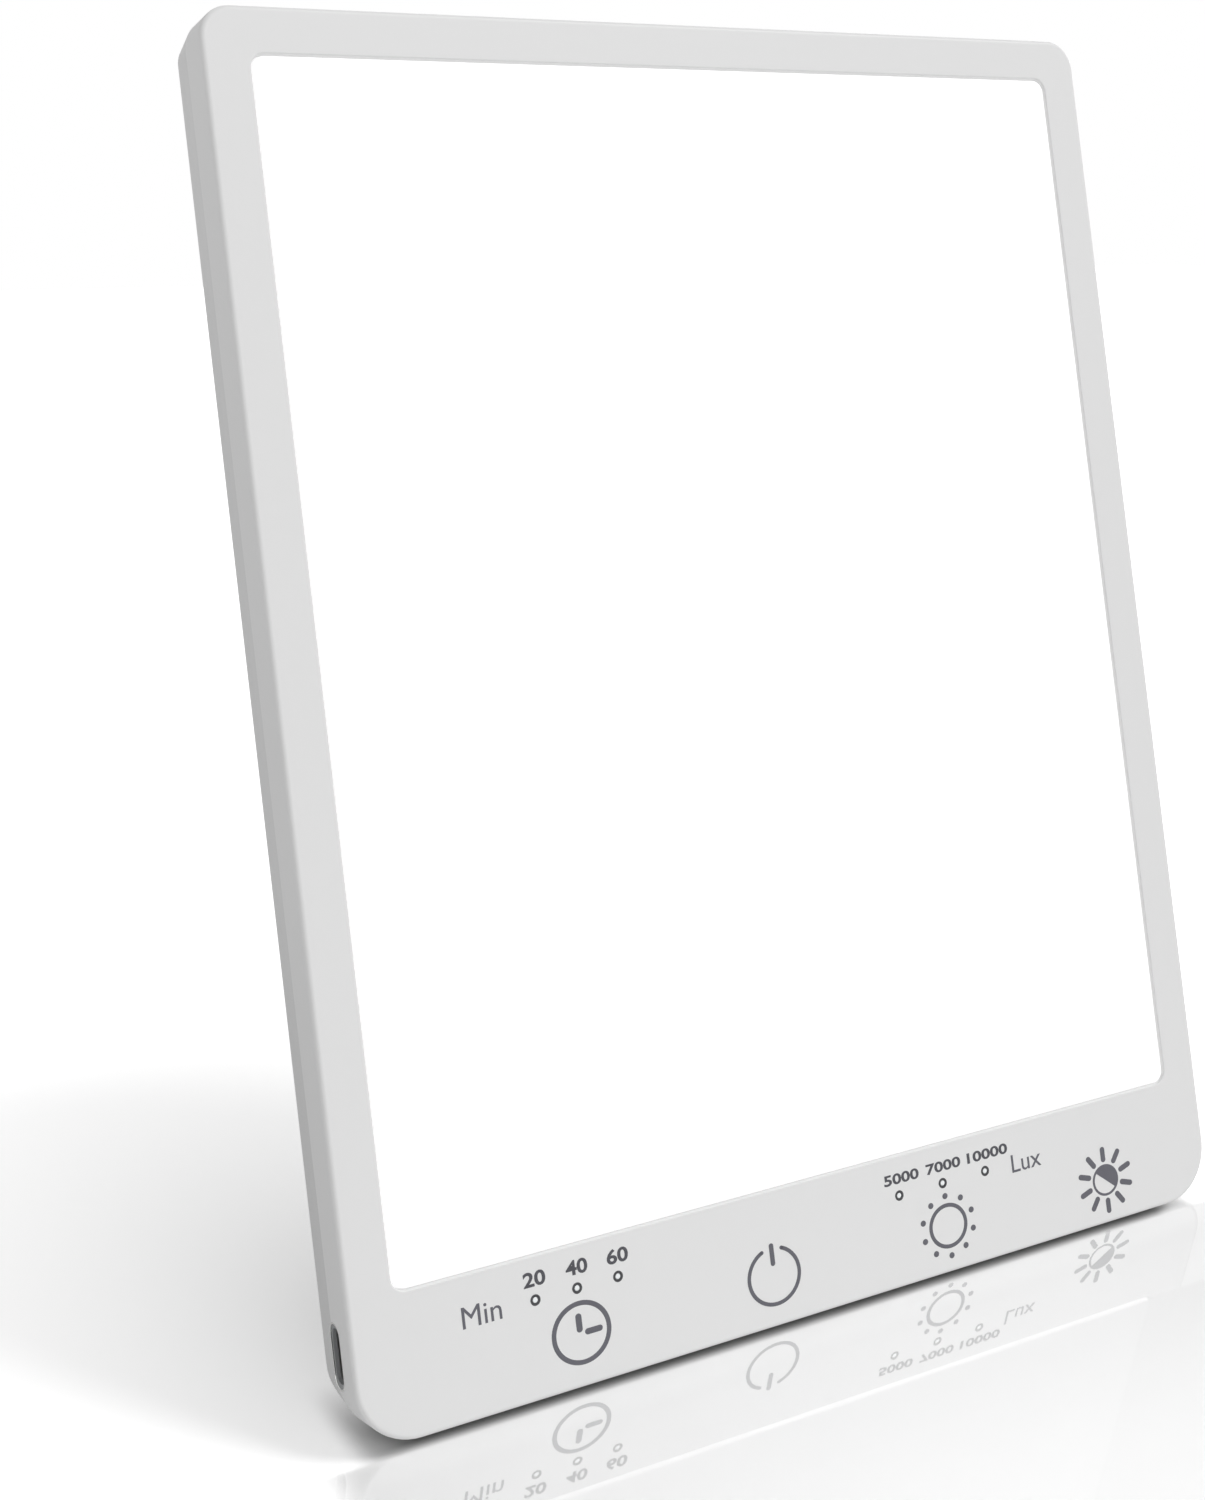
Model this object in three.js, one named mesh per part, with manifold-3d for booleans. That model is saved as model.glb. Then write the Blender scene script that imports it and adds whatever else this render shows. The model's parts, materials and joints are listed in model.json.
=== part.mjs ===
import * as THREE from 'three';
import { mergeVertices } from 'three/addons/utils/BufferGeometryUtils.js';
import Module from 'manifold-3d';

// A slim, tablet-shaped light therapy lamp that leans back on a folding kickstand.
// Millimetres. The panel's own frame: x to the right, y to the back from the front face,
// z up the panel from its lower edge. The whole panel then leans back about x.

const wasm = await Module();
wasm.setup();

// Driving dimensions of the panel
const PANEL_HEIGHT = 230;
const PANEL_WIDTH = 181;
const PANEL_DEPTH = 16.6;
const LEAN_DEGREES = 13.7;
const TOP_CORNER_RADIUS = 5.6;
const BOTTOM_CORNER_RADIUS = 10.4;
const PARTING_DEPTH = 7.5;
const REAR_TAPER = 1.4;
const FRONT_EDGE_ROUND = 0.8;
const REAR_EDGE_ROUND = 1.2;
const SIDE_WALL = 2;
const FACE_WALL = 2;
const BACK_WALL = 1.8;
const CLEARANCE = 0.3;
const CUT_OVERRUN = 2;

// Light window and its stack of sheets, from the front to the back
const WINDOW_SIDE_MARGIN = 8;
const WINDOW_TOP_MARGIN = 7.8;
const WINDOW_BOTTOM_MARGIN = 23.4;
const WINDOW_CORNER_RADIUS = 2.6;
const DIFFUSER_RECESS = 0.35;
const DIFFUSER_FLANGE = 1.2;
const SHEET_OVERLAP = 1.8;
const LIGHT_GUIDE_THICKNESS = 3;
const REFLECTOR_THICKNESS = 0.3;
const BACKPLATE_THICKNESS = 0.8;
const LED_TAPE_THICKNESS = 0.6;
const LED_TAPE_WIDTH = 3.6;
const LED_HEIGHT = 0.7;
const LED_WIDTH = 2.4;
const LED_LENGTH = 3.2;
const LED_PITCH = 8;
const LED_WIRE_DIAMETER = 1.2;
const LED_WIRE_SIDES = 8;
const LED_WIRE_STEPS = 12;

// Controls in the strip below the window, all measured on the front face
const BUTTON_PLACE_SHARES = [0.2232, 0.4343, 0.6453, 0.8564];
const BUTTON_Z = 8.9;
const INDICATOR_Z = 16.3;
const TIMER_INDICATOR_PITCH = 7.8;
const LUX_INDICATOR_PITCH = 9.9;
const INDICATOR_PIPE_DIAMETER = 1;
const INDICATOR_HOLE_DIAMETER = 1.6;
const LIGHT_PIPE_BAR_WIDTH = 2.4;
const LIGHT_PIPE_BAR_THICKNESS = 1.5;
const INDICATOR_LED_HEIGHT = 0.8;
const INDICATOR_LED_WIDTH = 1.6;

// Touch springs between the board and the face
const TOUCH_SPRING_DIAMETER = 6.4;
const TOUCH_SPRING_WIRE = 0.6;
const TOUCH_SPRING_TURNS = 4;
const SPRING_STEPS_PER_TURN = 8;
const SPRING_WIRE_SIDES = 5;

// Control board
const BOARD_FRONT_DEPTH = 8.5;
const BOARD_THICKNESS = 1.2;
const BOARD_BOTTOM = 3.6;
const BOARD_TOP = 21;
const BOARD_LEFT_INSET = 3.5;
const BOARD_RIGHT_INSET = 18.5;
const BOARD_SCREW_ALONG_SHARES = [0.132, 0.535, 0.874];
const BOARD_SCREW_UP_SHARE = 0.793;
const CONTROLLER_CHIP_SIZE = [7, 7, 1.2];
const DRIVER_CHIP_SIZE = [5, 4, 1.4];
const DRIVER_INDUCTOR_SIZE = [6, 6, 3];
const DRIVER_CAPACITOR_SIZE = [3.4, 2.6, 2.4];
const LED_PLUG_SIZE = [5, 4, 3];
const BOARD_POST_DIAMETER = 4.6;
const BOARD_PART_PLACE_SHARES = {
  controller_chip: [0.377, 0.684],
  driver_chip: [0.604, 0.684],
  driver_inductor: [0.585, 0.253],
  driver_capacitor: [0.642, 0.253],
  led_plug_left: [0.079, 0.874],
  led_plug_right: [0.962, 0.874],
};

// Charging socket in the left side wall
const SOCKET_Z = 14.1;
const SOCKET_DEPTH = 6.6;
const SOCKET_CUTOUT_LENGTH = 10.4;
const SOCKET_CUTOUT_WIDTH = 3.8;
const SOCKET_SHELL_LENGTH = 8.9;
const SOCKET_SHELL_WIDTH = 3.2;
const SOCKET_SHELL_REACH = 7.3;
const SOCKET_SHELL_WALL = 0.35;
const SOCKET_SETBACK = 0.9;
const SOCKET_TONGUE_LENGTH = 6.6;
const SOCKET_TONGUE_THICKNESS = 0.7;
const SOCKET_TONGUE_REACH = 5.4;

// Screws: thread, head, and the seats that they pass through
const CASE_SCREW = { thread: 2, head: 4, headHeight: 1.6, length: 7.2 };
const BOARD_SCREW = { thread: 1.6, head: 3.2, headHeight: 1.1, length: 4.6 };
const HINGE_SCREW = { thread: 1.6, head: 3, headHeight: 1, length: 3.4 };
const CASE_SCREW_PLACE_SHARES = [0.0912, 0.29, 0.71, 0.9088];
const CASE_SCREW_Z = 6;
const CASE_POST_DIAMETER = 6;
const CASE_COUNTERBORE_DEPTH = 4;
const CASE_SEAT_THICKNESS = 2.2;

// Snap hooks that hold the two halves along the sides and the top
const HOOK_WIDTH = 8;
const HOOK_THICKNESS = 0.9;
const HOOK_NOSE = 0.7;
const HOOK_REACH = 3;
const HOOK_HEIGHT_SHARES = [0.3, 0.52, 0.8];
const HOOK_TOP_MARGIN = 35.5;

// Kickstand and its recess in the back
const HINGE_HEIGHT = 128;
const HINGE_AXIS_INSET = 2.4;
const STAND_OPEN_DEGREES = 23.7;
const STAND_WIDTH = 58;
const STAND_THICKNESS = 3;
const STAND_FACE_INSET = 0.2;
const STAND_CORNER_RADIUS = 6;
const STAND_SHOULDER_DROP = 7;
const BARREL_DIAMETER = 4.4;
const HINGE_HARDWARE_SPACE = 10;
const STAND_SIDE_GAP = 1;
const POCKET_DEPTH = 5;
const POCKET_BELOW_AXIS = 6.4;
const THUMB_NOTCH_RADIUS = 9;
const THUMB_NOTCH_HEIGHT = 22;
const STAND_FOOT_HEIGHT = 6;
const STAND_TONGUE_THICKNESS = 1.2;
const STAND_TONGUE_REACH = 3;
const HINGE_PIN_DIAMETER = 2;
const HINGE_PIN_REACH = 8;
const HINGE_PIN_HEAD = { diameter: 3.4, height: 1 };
const HINGE_WASHER_THICKNESS = 0.6;
const HINGE_EAR_THICKNESS = 1.2;
const HINGE_BASE_THICKNESS = 1;
const HINGE_BASE_HALF_HEIGHT = 4.6;
const HINGE_BASE_SIDE_GAP = 2;

// Rubber feet under the lower edge
const FLOOR_DROP = 3.2;
const FOOT_SIDE_INSET = 21.5;
const FOOT_RECESS_GAP = 13;
const FOOT_FRONT_DEPTH = 9;
const FOOT_WIDTH = 5.2;
const FOOT_POCKET_HEIGHT = 1.4;
const SUPPORT_POST_DIAMETER = 6;
const SUPPORT_POST_SIDE_INSET = 28.5;
const SUPPORT_POST_HEIGHT_SHARES = [0.15, 0.44, 0.73, 0.93];

// Fineness of the round forms
const MERGE_TOLERANCE = 1e-5;
const ROD_SIDES = 16;
const SCREW_SIDES = 12;
const NOTCH_SIDES = 24;
const OUTLINE_CURVE_SEGMENTS = 6;
const SOCKET_CURVE_SEGMENTS = 5;
const EDGE_ROUND_STEPS = 2;

// Values that follow from the ones above
const lean = THREE.MathUtils.degToRad(LEAN_DEGREES);
const standOpen = THREE.MathUtils.degToRad(STAND_OPEN_DEGREES);
const halfWidth = PANEL_WIDTH / 2;
const windowHalfWidth = halfWidth - WINDOW_SIDE_MARGIN;
const windowTop = PANEL_HEIGHT - WINDOW_TOP_MARGIN;
const windowMiddleZ = (windowTop + WINDOW_BOTTOM_MARGIN) / 2;
const windowHeight = windowTop - WINDOW_BOTTOM_MARGIN;
const flangeFront = FACE_WALL + CLEARANCE;
const lightGuideFront = flangeFront + DIFFUSER_FLANGE + CLEARANCE;
const reflectorFront = lightGuideFront + LIGHT_GUIDE_THICKNESS + CLEARANCE;
const backplateFront = reflectorFront + REFLECTOR_THICKNESS + CLEARANCE;
const backplateRear = backplateFront + BACKPLATE_THICKNESS;
const backWallFront = PANEL_DEPTH - BACK_WALL;
const sheetWidth = 2 * (windowHalfWidth + SHEET_OVERLAP);
const sheetHeight = windowHeight + 2 * SHEET_OVERLAP;
const ledFaceX = sheetWidth / 2 + CLEARANCE;
const ledTapeX = ledFaceX + LED_HEIGHT;
const plateWingX = ledTapeX + LED_TAPE_THICKNESS + CLEARANCE;
const boardRearDepth = BOARD_FRONT_DEPTH + BOARD_THICKNESS;
const boardPartsRear = BOARD_FRONT_DEPTH - CLEARANCE;
const hingeAxisDepth = PANEL_DEPTH - HINGE_AXIS_INSET;
const standRear = HINGE_AXIS_INSET - STAND_FACE_INSET;
const standFront = standRear - STAND_THICKNESS;
const recessFloorDepth = hingeAxisDepth + standFront - CLEARANCE;
const pocketFloorDepth = PANEL_DEPTH - POCKET_DEPTH;
const recessHalfWidth = STAND_WIDTH / 2 + STAND_SIDE_GAP;
const screwHole = (screw) => screw.thread + 2 * CLEARANCE;
const BUTTON_NAMES = ['timer', 'power', 'brightness', 'colour'];
const acrossPanel = (share) => PANEL_WIDTH * (share - 1 / 2);
const buttonX = (index) => acrossPanel(BUTTON_PLACE_SHARES[index]);
const caseScrewX = CASE_SCREW_PLACE_SHARES.map(acrossPanel);
const boardLeft = -halfWidth + BOARD_LEFT_INSET;
const boardRight = halfWidth - BOARD_RIGHT_INSET;
const alongBoard = (share) => THREE.MathUtils.lerp(boardLeft, boardRight, share);
const upBoard = (share) => THREE.MathUtils.lerp(BOARD_BOTTOM, BOARD_TOP, share);
const boardScrewPlaces = ['left', 'middle', 'right'].map((name, index) => ({
  name, x: alongBoard(BOARD_SCREW_ALONG_SHARES[index]), z: upBoard(BOARD_SCREW_UP_SHARE),
}));
const barrelWidth = STAND_WIDTH - 2 * HINGE_HARDWARE_SPACE;
const footSpan = [recessHalfWidth + FOOT_RECESS_GAP, halfWidth - FOOT_SIDE_INSET];

// The stop heel above the hinge axis meets the pocket's floor when the stand is fully open
const heelReach = (PANEL_DEPTH - HINGE_AXIS_INSET - pocketFloorDepth - CLEARANCE
  + standFront * Math.cos(standOpen)) / Math.sin(standOpen);
const heelSweep = Math.hypot(heelReach, standRear);
const recessTop = HINGE_HEIGHT + heelSweep + CLEARANCE;
const recessBottom = -CUT_OVERRUN;

// Screws, posts and hooks: where they end
const casePostRear = PANEL_DEPTH - CASE_COUNTERBORE_DEPTH - CASE_SEAT_THICKNESS - CLEARANCE;
const caseScrewTip = PANEL_DEPTH - CASE_COUNTERBORE_DEPTH + CLEARANCE - CASE_SCREW.length;
const boardScrewTip = boardRearDepth + CLEARANCE - BOARD_SCREW.length;
const hookFront = PARTING_DEPTH - HOOK_REACH;

// Indicator lights, LED tapes and the socket's mouth
const indicatorPlaces = (middleX, pitch) => [-1, 0, 1].map((step) => middleX + step * pitch);
const timerIndicators = indicatorPlaces(buttonX(0), TIMER_INDICATOR_PITCH);
const luxIndicators = indicatorPlaces(buttonX(2), LUX_INDICATOR_PITCH);
const wingSpanZ = [
  windowMiddleZ - sheetHeight / 2 + SHEET_OVERLAP, windowMiddleZ + sheetHeight / 2 - SHEET_OVERLAP,
];
const socketMouthX = -halfWidth + SOCKET_SETBACK;

// Hinge hardware beside the barrel
const earInnerX = barrelWidth / 2 + CLEARANCE + HINGE_WASHER_THICKNESS + CLEARANCE;
const earOuterX = earInnerX + HINGE_EAR_THICKNESS;
const hingeBaseOuterX = recessHalfWidth - HINGE_BASE_SIDE_GAP;
const hingeScrewX = (earOuterX + hingeBaseOuterX + HINGE_PIN_HEAD.height) / 2;
const hingeScrewZ = HINGE_BASE_HALF_HEIGHT - HINGE_SCREW.head / 2 - CLEARANCE;
const hingeScrewPlaces = () => [-1, 1].flatMap((side) => [-1, 1].map((end) => ({
  x: side * hingeScrewX, z: HINGE_HEIGHT + end * hingeScrewZ,
})));
const hingeBaseRear = pocketFloorDepth + CLEARANCE + HINGE_BASE_THICKNESS;

// How far down the open stand the floor lies, along a line at a depth behind the axis
const standAngle = standOpen - lean;
const axisAboveFloor = HINGE_HEIGHT * Math.cos(lean) - hingeAxisDepth * Math.sin(lean) + FLOOR_DROP;
const standReachAt = (y) => (axisAboveFloor + y * Math.sin(standAngle)) / Math.cos(standAngle);
const standFootTop = -standReachAt(standFront) + STAND_FOOT_HEIGHT;

// Moulded, printed and metal surfaces
const finish = (color, roughness, metalness = 0) => ({ color, roughness, metalness });
const WHITE_PLASTIC = finish(0xe6e6e4, 0.5);
const OPAL_ACRYLIC = finish(0xffffff, 0.4);
const CLEAR_ACRYLIC = finish(0xeef4f6, 0.1);
const WHITE_FILM = finish(0xfafafa, 0.3);
const ALUMINIUM = finish(0xb9bcbf, 0.4, 1);
const STEEL = finish(0x9c9fa3, 0.3, 1);
const TIN_PLATE = finish(0xc4c4c0, 0.3, 1);
const BOARD_GREEN = finish(0x2f6b45, 0.6);
const BLACK_RESIN = finish(0x1c1c1e, 0.5);
const LED_TAPE_WHITE = finish(0xf4f2ea, 0.5);
const GREY_RUBBER = finish(0x8d8f91, 0.9);
const CABLE_WHITE = finish(0xe9e9e6, 0.6);

// Solid helpers
const asSolid = (geometry) => {
  geometry.deleteAttribute('normal');
  geometry.deleteAttribute('uv');
  const merged = mergeVertices(geometry, MERGE_TOLERANCE);
  return new wasm.Manifold(new wasm.Mesh({
    numProp: 3,
    vertProperties: new Float32Array(merged.attributes.position.array),
    triVerts: new Uint32Array(merged.index.array),
  }));
};

const asGeometry = (solid) => {
  const mesh = solid.getMesh();
  const geometry = new THREE.BufferGeometry();
  geometry.setAttribute('position', new THREE.BufferAttribute(mesh.vertProperties, 3));
  geometry.setIndex(new THREE.BufferAttribute(mesh.triVerts, 1));
  geometry.computeVertexNormals();
  return geometry;
};

const joined = (solids) => solids.reduce((all, solid) => all.add(solid));
const cutBy = (solid, tools) => tools.reduce((rest, tool) => rest.subtract(tool), solid);

// A block between two corners given as x, y and z spans
const block = ([x0, x1], [y0, y1], [z0, z1]) => {
  const geometry = new THREE.BoxGeometry(x1 - x0, y1 - y0, z1 - z0);
  geometry.translate((x0 + x1) / 2, (y0 + y1) / 2, (z0 + z1) / 2);
  return asSolid(geometry);
};

// A rod along y between two depths
const rodY = (diameter, x, z, [y0, y1], sides = SCREW_SIDES) => {
  const geometry = new THREE.CylinderGeometry(diameter / 2, diameter / 2, y1 - y0, sides);
  geometry.translate(x, (y0 + y1) / 2, z);
  return asSolid(geometry);
};

// A rod along x between two places across the panel
const rodX = (diameter, y, z, [x0, x1], sides = ROD_SIDES) => {
  const geometry = new THREE.CylinderGeometry(diameter / 2, diameter / 2, x1 - x0, sides);
  geometry.rotateZ(Math.PI / 2);
  geometry.translate((x0 + x1) / 2, y, z);
  return asSolid(geometry);
};

// A span given outwards from the middle, on the left or the right side
const mirrored = (side, [near, far]) => (side < 0 ? [-far, -near] : [near, far]);

// A rounded rectangle drawn with x across and z up the panel
const roundedOutline = (width, bottom, top, bottomRadius, topRadius) => {
  const half = width / 2;
  const shape = new THREE.Shape();
  shape.moveTo(-half + bottomRadius, bottom);
  shape.lineTo(half - bottomRadius, bottom);
  shape.absarc(half - bottomRadius, bottom + bottomRadius, bottomRadius, -Math.PI / 2, 0);
  shape.lineTo(half, top - topRadius);
  shape.absarc(half - topRadius, top - topRadius, topRadius, 0, Math.PI / 2);
  shape.lineTo(-half + topRadius, top);
  shape.absarc(-half + topRadius, top - topRadius, topRadius, Math.PI / 2, Math.PI);
  shape.lineTo(-half, bottom + bottomRadius);
  shape.absarc(-half + bottomRadius, bottom + bottomRadius, bottomRadius, Math.PI, Math.PI * 1.5);
  return shape;
};

// The panel's own outline, drawn in by an inset
const panelOutline = (inset) => roundedOutline(
  PANEL_WIDTH - 2 * inset, inset, PANEL_HEIGHT - inset,
  BOTTOM_CORNER_RADIUS - inset, TOP_CORNER_RADIUS - inset,
);

// The window's outline, drawn in by an inset
const windowOutline = (inset) => roundedOutline(
  2 * (windowHalfWidth - inset), WINDOW_BOTTOM_MARGIN + inset, windowTop - inset,
  WINDOW_CORNER_RADIUS - inset, WINDOW_CORNER_RADIUS - inset,
);

// An outline pushed from one depth to another, straight
const slab = (shape, [y0, y1], curveSegments = OUTLINE_CURVE_SEGMENTS) => {
  const geometry = new THREE.ExtrudeGeometry(shape, {
    depth: y1 - y0, bevelEnabled: false, curveSegments,
  });
  geometry.rotateX(Math.PI / 2);
  geometry.translate(0, y1, 0);
  return asSolid(geometry);
};

// An outline whose front and rear edges slope or round outwards to a belt around it
const belted = (shape, [y0, y1], { run, grow, steps }, curveSegments = OUTLINE_CURVE_SEGMENTS) => {
  const geometry = new THREE.ExtrudeGeometry(shape, {
    depth: y1 - y0 - 2 * run,
    bevelEnabled: true,
    bevelThickness: run,
    bevelSize: grow,
    bevelSegments: steps,
    curveSegments,
  });
  geometry.rotateX(Math.PI / 2);
  geometry.translate(0, y1 - run, 0);
  return asSolid(geometry);
};

// Everything in front of, or behind, one depth
const FAR_SPAN = [-2 * PANEL_HEIGHT, 2 * PANEL_HEIGHT];
const inFrontOf = (depth) => block(FAR_SPAN, [FAR_SPAN[0], depth], FAR_SPAN);
const behind = (depth) => block(FAR_SPAN, [depth, FAR_SPAN[1]], FAR_SPAN);

// Everything under the level floor, in the panel's leaning frame
const belowFloor = () => {
  const geometry = new THREE.BoxGeometry(FAR_SPAN[1], FAR_SPAN[1], PANEL_HEIGHT);
  geometry.translate(0, 0, -FLOOR_DROP - PANEL_HEIGHT / 2);
  geometry.rotateX(lean);
  return asSolid(geometry);
};

// The front half's outer body: straight sides and a rounded front edge
const frontBody = () => belted(
  panelOutline(FRONT_EDGE_ROUND), [0, 2 * PARTING_DEPTH],
  { run: FRONT_EDGE_ROUND, grow: FRONT_EDGE_ROUND, steps: EDGE_ROUND_STEPS },
).subtract(behind(PARTING_DEPTH));

// The rear half's body: sides that draw in towards the back, less an inset all round
const rearBody = (inset, rear, edgeRound) => {
  const run = PANEL_DEPTH - PARTING_DEPTH;
  const tapered = belted(
    panelOutline(inset + REAR_TAPER), [PARTING_DEPTH - 2 * run, PANEL_DEPTH],
    { run, grow: REAR_TAPER, steps: 1 },
  );
  const kept = tapered.subtract(inFrontOf(PARTING_DEPTH)).subtract(behind(rear));
  if (edgeRound === 0) return kept;
  const softened = belted(
    panelOutline(inset + REAR_TAPER + edgeRound - taperAt(edgeRound)), [PARTING_DEPTH - 2 * run, PANEL_DEPTH],
    { run: edgeRound, grow: edgeRound, steps: EDGE_ROUND_STEPS },
  );
  return kept.intersect(softened.add(inFrontOf(PANEL_DEPTH - edgeRound)));
};

// How much wider the tapered side is at a distance in front of the back face
const taperAt = (distance) => REAR_TAPER * distance / (PANEL_DEPTH - PARTING_DEPTH);

// The stadium-shaped opening for the charging socket, along x
const socketPrism = (length, width, [x0, x1], curveSegments = SOCKET_CURVE_SEGMENTS) => {
  const shape = new THREE.Shape();
  const straight = (length - width) / 2;
  shape.moveTo(width / 2, -straight);
  shape.lineTo(width / 2, straight);
  shape.absarc(0, straight, width / 2, 0, Math.PI);
  shape.lineTo(-width / 2, -straight);
  shape.absarc(0, -straight, width / 2, Math.PI, 2 * Math.PI);
  const geometry = new THREE.ExtrudeGeometry(shape, {
    depth: x1 - x0, bevelEnabled: false, curveSegments,
  });
  geometry.rotateX(Math.PI / 2);
  geometry.rotateZ(Math.PI / 2);
  geometry.translate(x0, SOCKET_DEPTH, SOCKET_Z);
  return asSolid(geometry);
};

const socketCut = () => socketPrism(
  SOCKET_CUTOUT_LENGTH, SOCKET_CUTOUT_WIDTH,
  [-halfWidth - CUT_OVERRUN, -halfWidth + SIDE_WALL + CUT_OVERRUN],
);

// Snap hooks: where each stands, and the wall that it bears on
const hookPlaces = () => [
  ...HOOK_HEIGHT_SHARES.map((share) => share * PANEL_HEIGHT)
    .flatMap((z) => [{ side: -1, z }, { side: 1, z }]),
  ...[-1, 1].map((end) => ({ side: 0, x: end * (halfWidth - HOOK_TOP_MARGIN) })),
];

// One hook as a block between two distances from the outer wall and two depths
const hookBlock = ({ side, x, z }, [near, far], depths, width = HOOK_WIDTH) => {
  if (side === 0) {
    return block([x - width / 2, x + width / 2], depths, [PANEL_HEIGHT - far, PANEL_HEIGHT - near]);
  }
  const spanX = side < 0 ? [-halfWidth + near, -halfWidth + far] : [halfWidth - far, halfWidth - near];
  return block(spanX, depths, [z - width / 2, z + width / 2]);
};

// Front bezel: the visible frame, with the window, the posts and the indicator holes
const frontBezel = () => {
  const cavity = slab(panelOutline(SIDE_WALL), [FACE_WALL, PARTING_DEPTH + CUT_OVERRUN]);
  const posts = [
    ...caseScrewX.map((x) => rodY(CASE_POST_DIAMETER, x, CASE_SCREW_Z, [FACE_WALL / 2, casePostRear])),
    ...boardScrewPlaces.map(({ x, z }) => rodY(BOARD_POST_DIAMETER, x, z, [FACE_WALL / 2, boardPartsRear])),
  ];
  const window = slab(windowOutline(0), [-CUT_OVERRUN, FACE_WALL + CUT_OVERRUN]);
  const holes = [
    ...[...timerIndicators, ...luxIndicators].map((x) => rodY(
      INDICATOR_HOLE_DIAMETER, x, INDICATOR_Z, [-CUT_OVERRUN, FACE_WALL + CUT_OVERRUN],
    )),
    ...caseScrewX.map((x) => rodY(
      screwHole(CASE_SCREW), x, CASE_SCREW_Z, [caseScrewTip - CLEARANCE, casePostRear + CUT_OVERRUN],
    )),
    ...boardScrewPlaces.map(({ x, z }) => rodY(
      screwHole(BOARD_SCREW), x, z, [boardScrewTip - CLEARANCE, boardPartsRear + CUT_OVERRUN],
    )),
  ];
  const hookPockets = hookPlaces().map((place) => hookBlock(
    place, [SIDE_WALL - HOOK_NOSE, SIDE_WALL + CLEARANCE],
    [hookFront - CLEARANCE, hookFront + 2 * HOOK_NOSE + CLEARANCE], HOOK_WIDTH + 2 * CLEARANCE,
  ));
  const shell = joined([frontBody().subtract(cavity), ...posts]);
  return cutBy(shell, [window, socketCut(), ...holes, ...hookPockets]);
};

// The kickstand's recess with its hinge pocket and thumb notch, grown by a wall's thickness
const recessCut = (growth, floorShift) => {
  const half = recessHalfWidth + growth;
  const main = block([-half, half], [recessFloorDepth - floorShift, PANEL_DEPTH + CUT_OVERRUN],
    [recessBottom, recessTop + growth]);
  const pocket = block([-half, half], [pocketFloorDepth - floorShift, PANEL_DEPTH + CUT_OVERRUN],
    [HINGE_HEIGHT - POCKET_BELOW_AXIS - growth, recessTop + growth]);
  const notch = rodY(2 * (THUMB_NOTCH_RADIUS + growth), half - growth, THUMB_NOTCH_HEIGHT,
    [recessFloorDepth - floorShift, PANEL_DEPTH + CUT_OVERRUN], NOTCH_SIDES);
  return joined([main, pocket, notch]);
};

const footPocket = (side) => block(
  mirrored(side, [footSpan[0] - CLEARANCE, footSpan[1] + CLEARANCE]),
  [FOOT_FRONT_DEPTH - CLEARANCE, FOOT_FRONT_DEPTH + FOOT_WIDTH + CLEARANCE],
  [-CUT_OVERRUN, FOOT_POCKET_HEIGHT],
);

// Rear cover: the tapered shell with the kickstand's recess, screw seats and foot pockets
const rearCover = () => {
  const outer = rearBody(0, PANEL_DEPTH, REAR_EDGE_ROUND);
  const inner = rearBody(SIDE_WALL, backWallFront, 0);
  const recessWalls = recessCut(BACK_WALL, BACK_WALL).intersect(outer);
  const seats = caseScrewX.map((x) => rodY(
    CASE_POST_DIAMETER, x, CASE_SCREW_Z, [casePostRear + CLEARANCE, backWallFront + BACK_WALL / 2],
  ));
  const supports = [-1, 1].flatMap((side) => SUPPORT_POST_HEIGHT_SHARES.map((share) => rodY(
    SUPPORT_POST_DIAMETER, side * (halfWidth - SUPPORT_POST_SIDE_INSET),
    windowMiddleZ + sheetHeight * (share - 1 / 2),
    [backplateRear + CLEARANCE, backWallFront + BACK_WALL / 2],
  )));
  const hingePosts = hingeScrewPlaces().map(({ x, z }) => rodY(
    HINGE_SCREW.head, x, z, [backplateRear + CLEARANCE, pocketFloorDepth - BACK_WALL / 2],
  ));
  const hooks = hookPlaces().flatMap((place) => [
    hookBlock(place, [SIDE_WALL + CLEARANCE, SIDE_WALL + CLEARANCE + HOOK_THICKNESS],
      [hookFront, PARTING_DEPTH + HOOK_REACH]),
    hookBlock(place, [SIDE_WALL - HOOK_NOSE + CLEARANCE, SIDE_WALL + CLEARANCE + HOOK_THICKNESS / 2],
      [hookFront, hookFront + 2 * HOOK_NOSE]),
    hookBlock(place, [SIDE_WALL / 2, SIDE_WALL + CLEARANCE + HOOK_THICKNESS],
      [PARTING_DEPTH + CLEARANCE, PARTING_DEPTH + HOOK_REACH]),
  ]);
  const holes = [
    ...caseScrewX.flatMap((x) => [
      rodY(screwHole(CASE_SCREW), x, CASE_SCREW_Z, [casePostRear, PANEL_DEPTH]),
      rodY(CASE_SCREW.head + 2 * CLEARANCE, x, CASE_SCREW_Z,
        [PANEL_DEPTH - CASE_COUNTERBORE_DEPTH, PANEL_DEPTH + CUT_OVERRUN], ROD_SIDES),
    ]),
    ...hingeScrewPlaces().map(({ x, z }) => rodY(
      screwHole(HINGE_SCREW), x, z, [backplateRear, pocketFloorDepth + CUT_OVERRUN],
    )),
  ];
  const shell = joined([outer.subtract(inner), recessWalls, ...seats, ...supports, ...hingePosts, ...hooks]);
  return cutBy(shell, [recessCut(0, 0), socketCut(), footPocket(-1), footPocket(1), ...holes]);
};

// The opal diffuser: a raised face in the window on a flange behind the frame
const sheetOutline = () => roundedOutline(
  sheetWidth, windowMiddleZ - sheetHeight / 2, windowMiddleZ + sheetHeight / 2,
  WINDOW_CORNER_RADIUS, WINDOW_CORNER_RADIUS,
);

const diffuserPanel = () => joined([
  slab(sheetOutline(), [flangeFront, flangeFront + DIFFUSER_FLANGE]),
  slab(windowOutline(CLEARANCE), [DIFFUSER_RECESS, flangeFront + DIFFUSER_FLANGE / 2]),
]);

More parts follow.
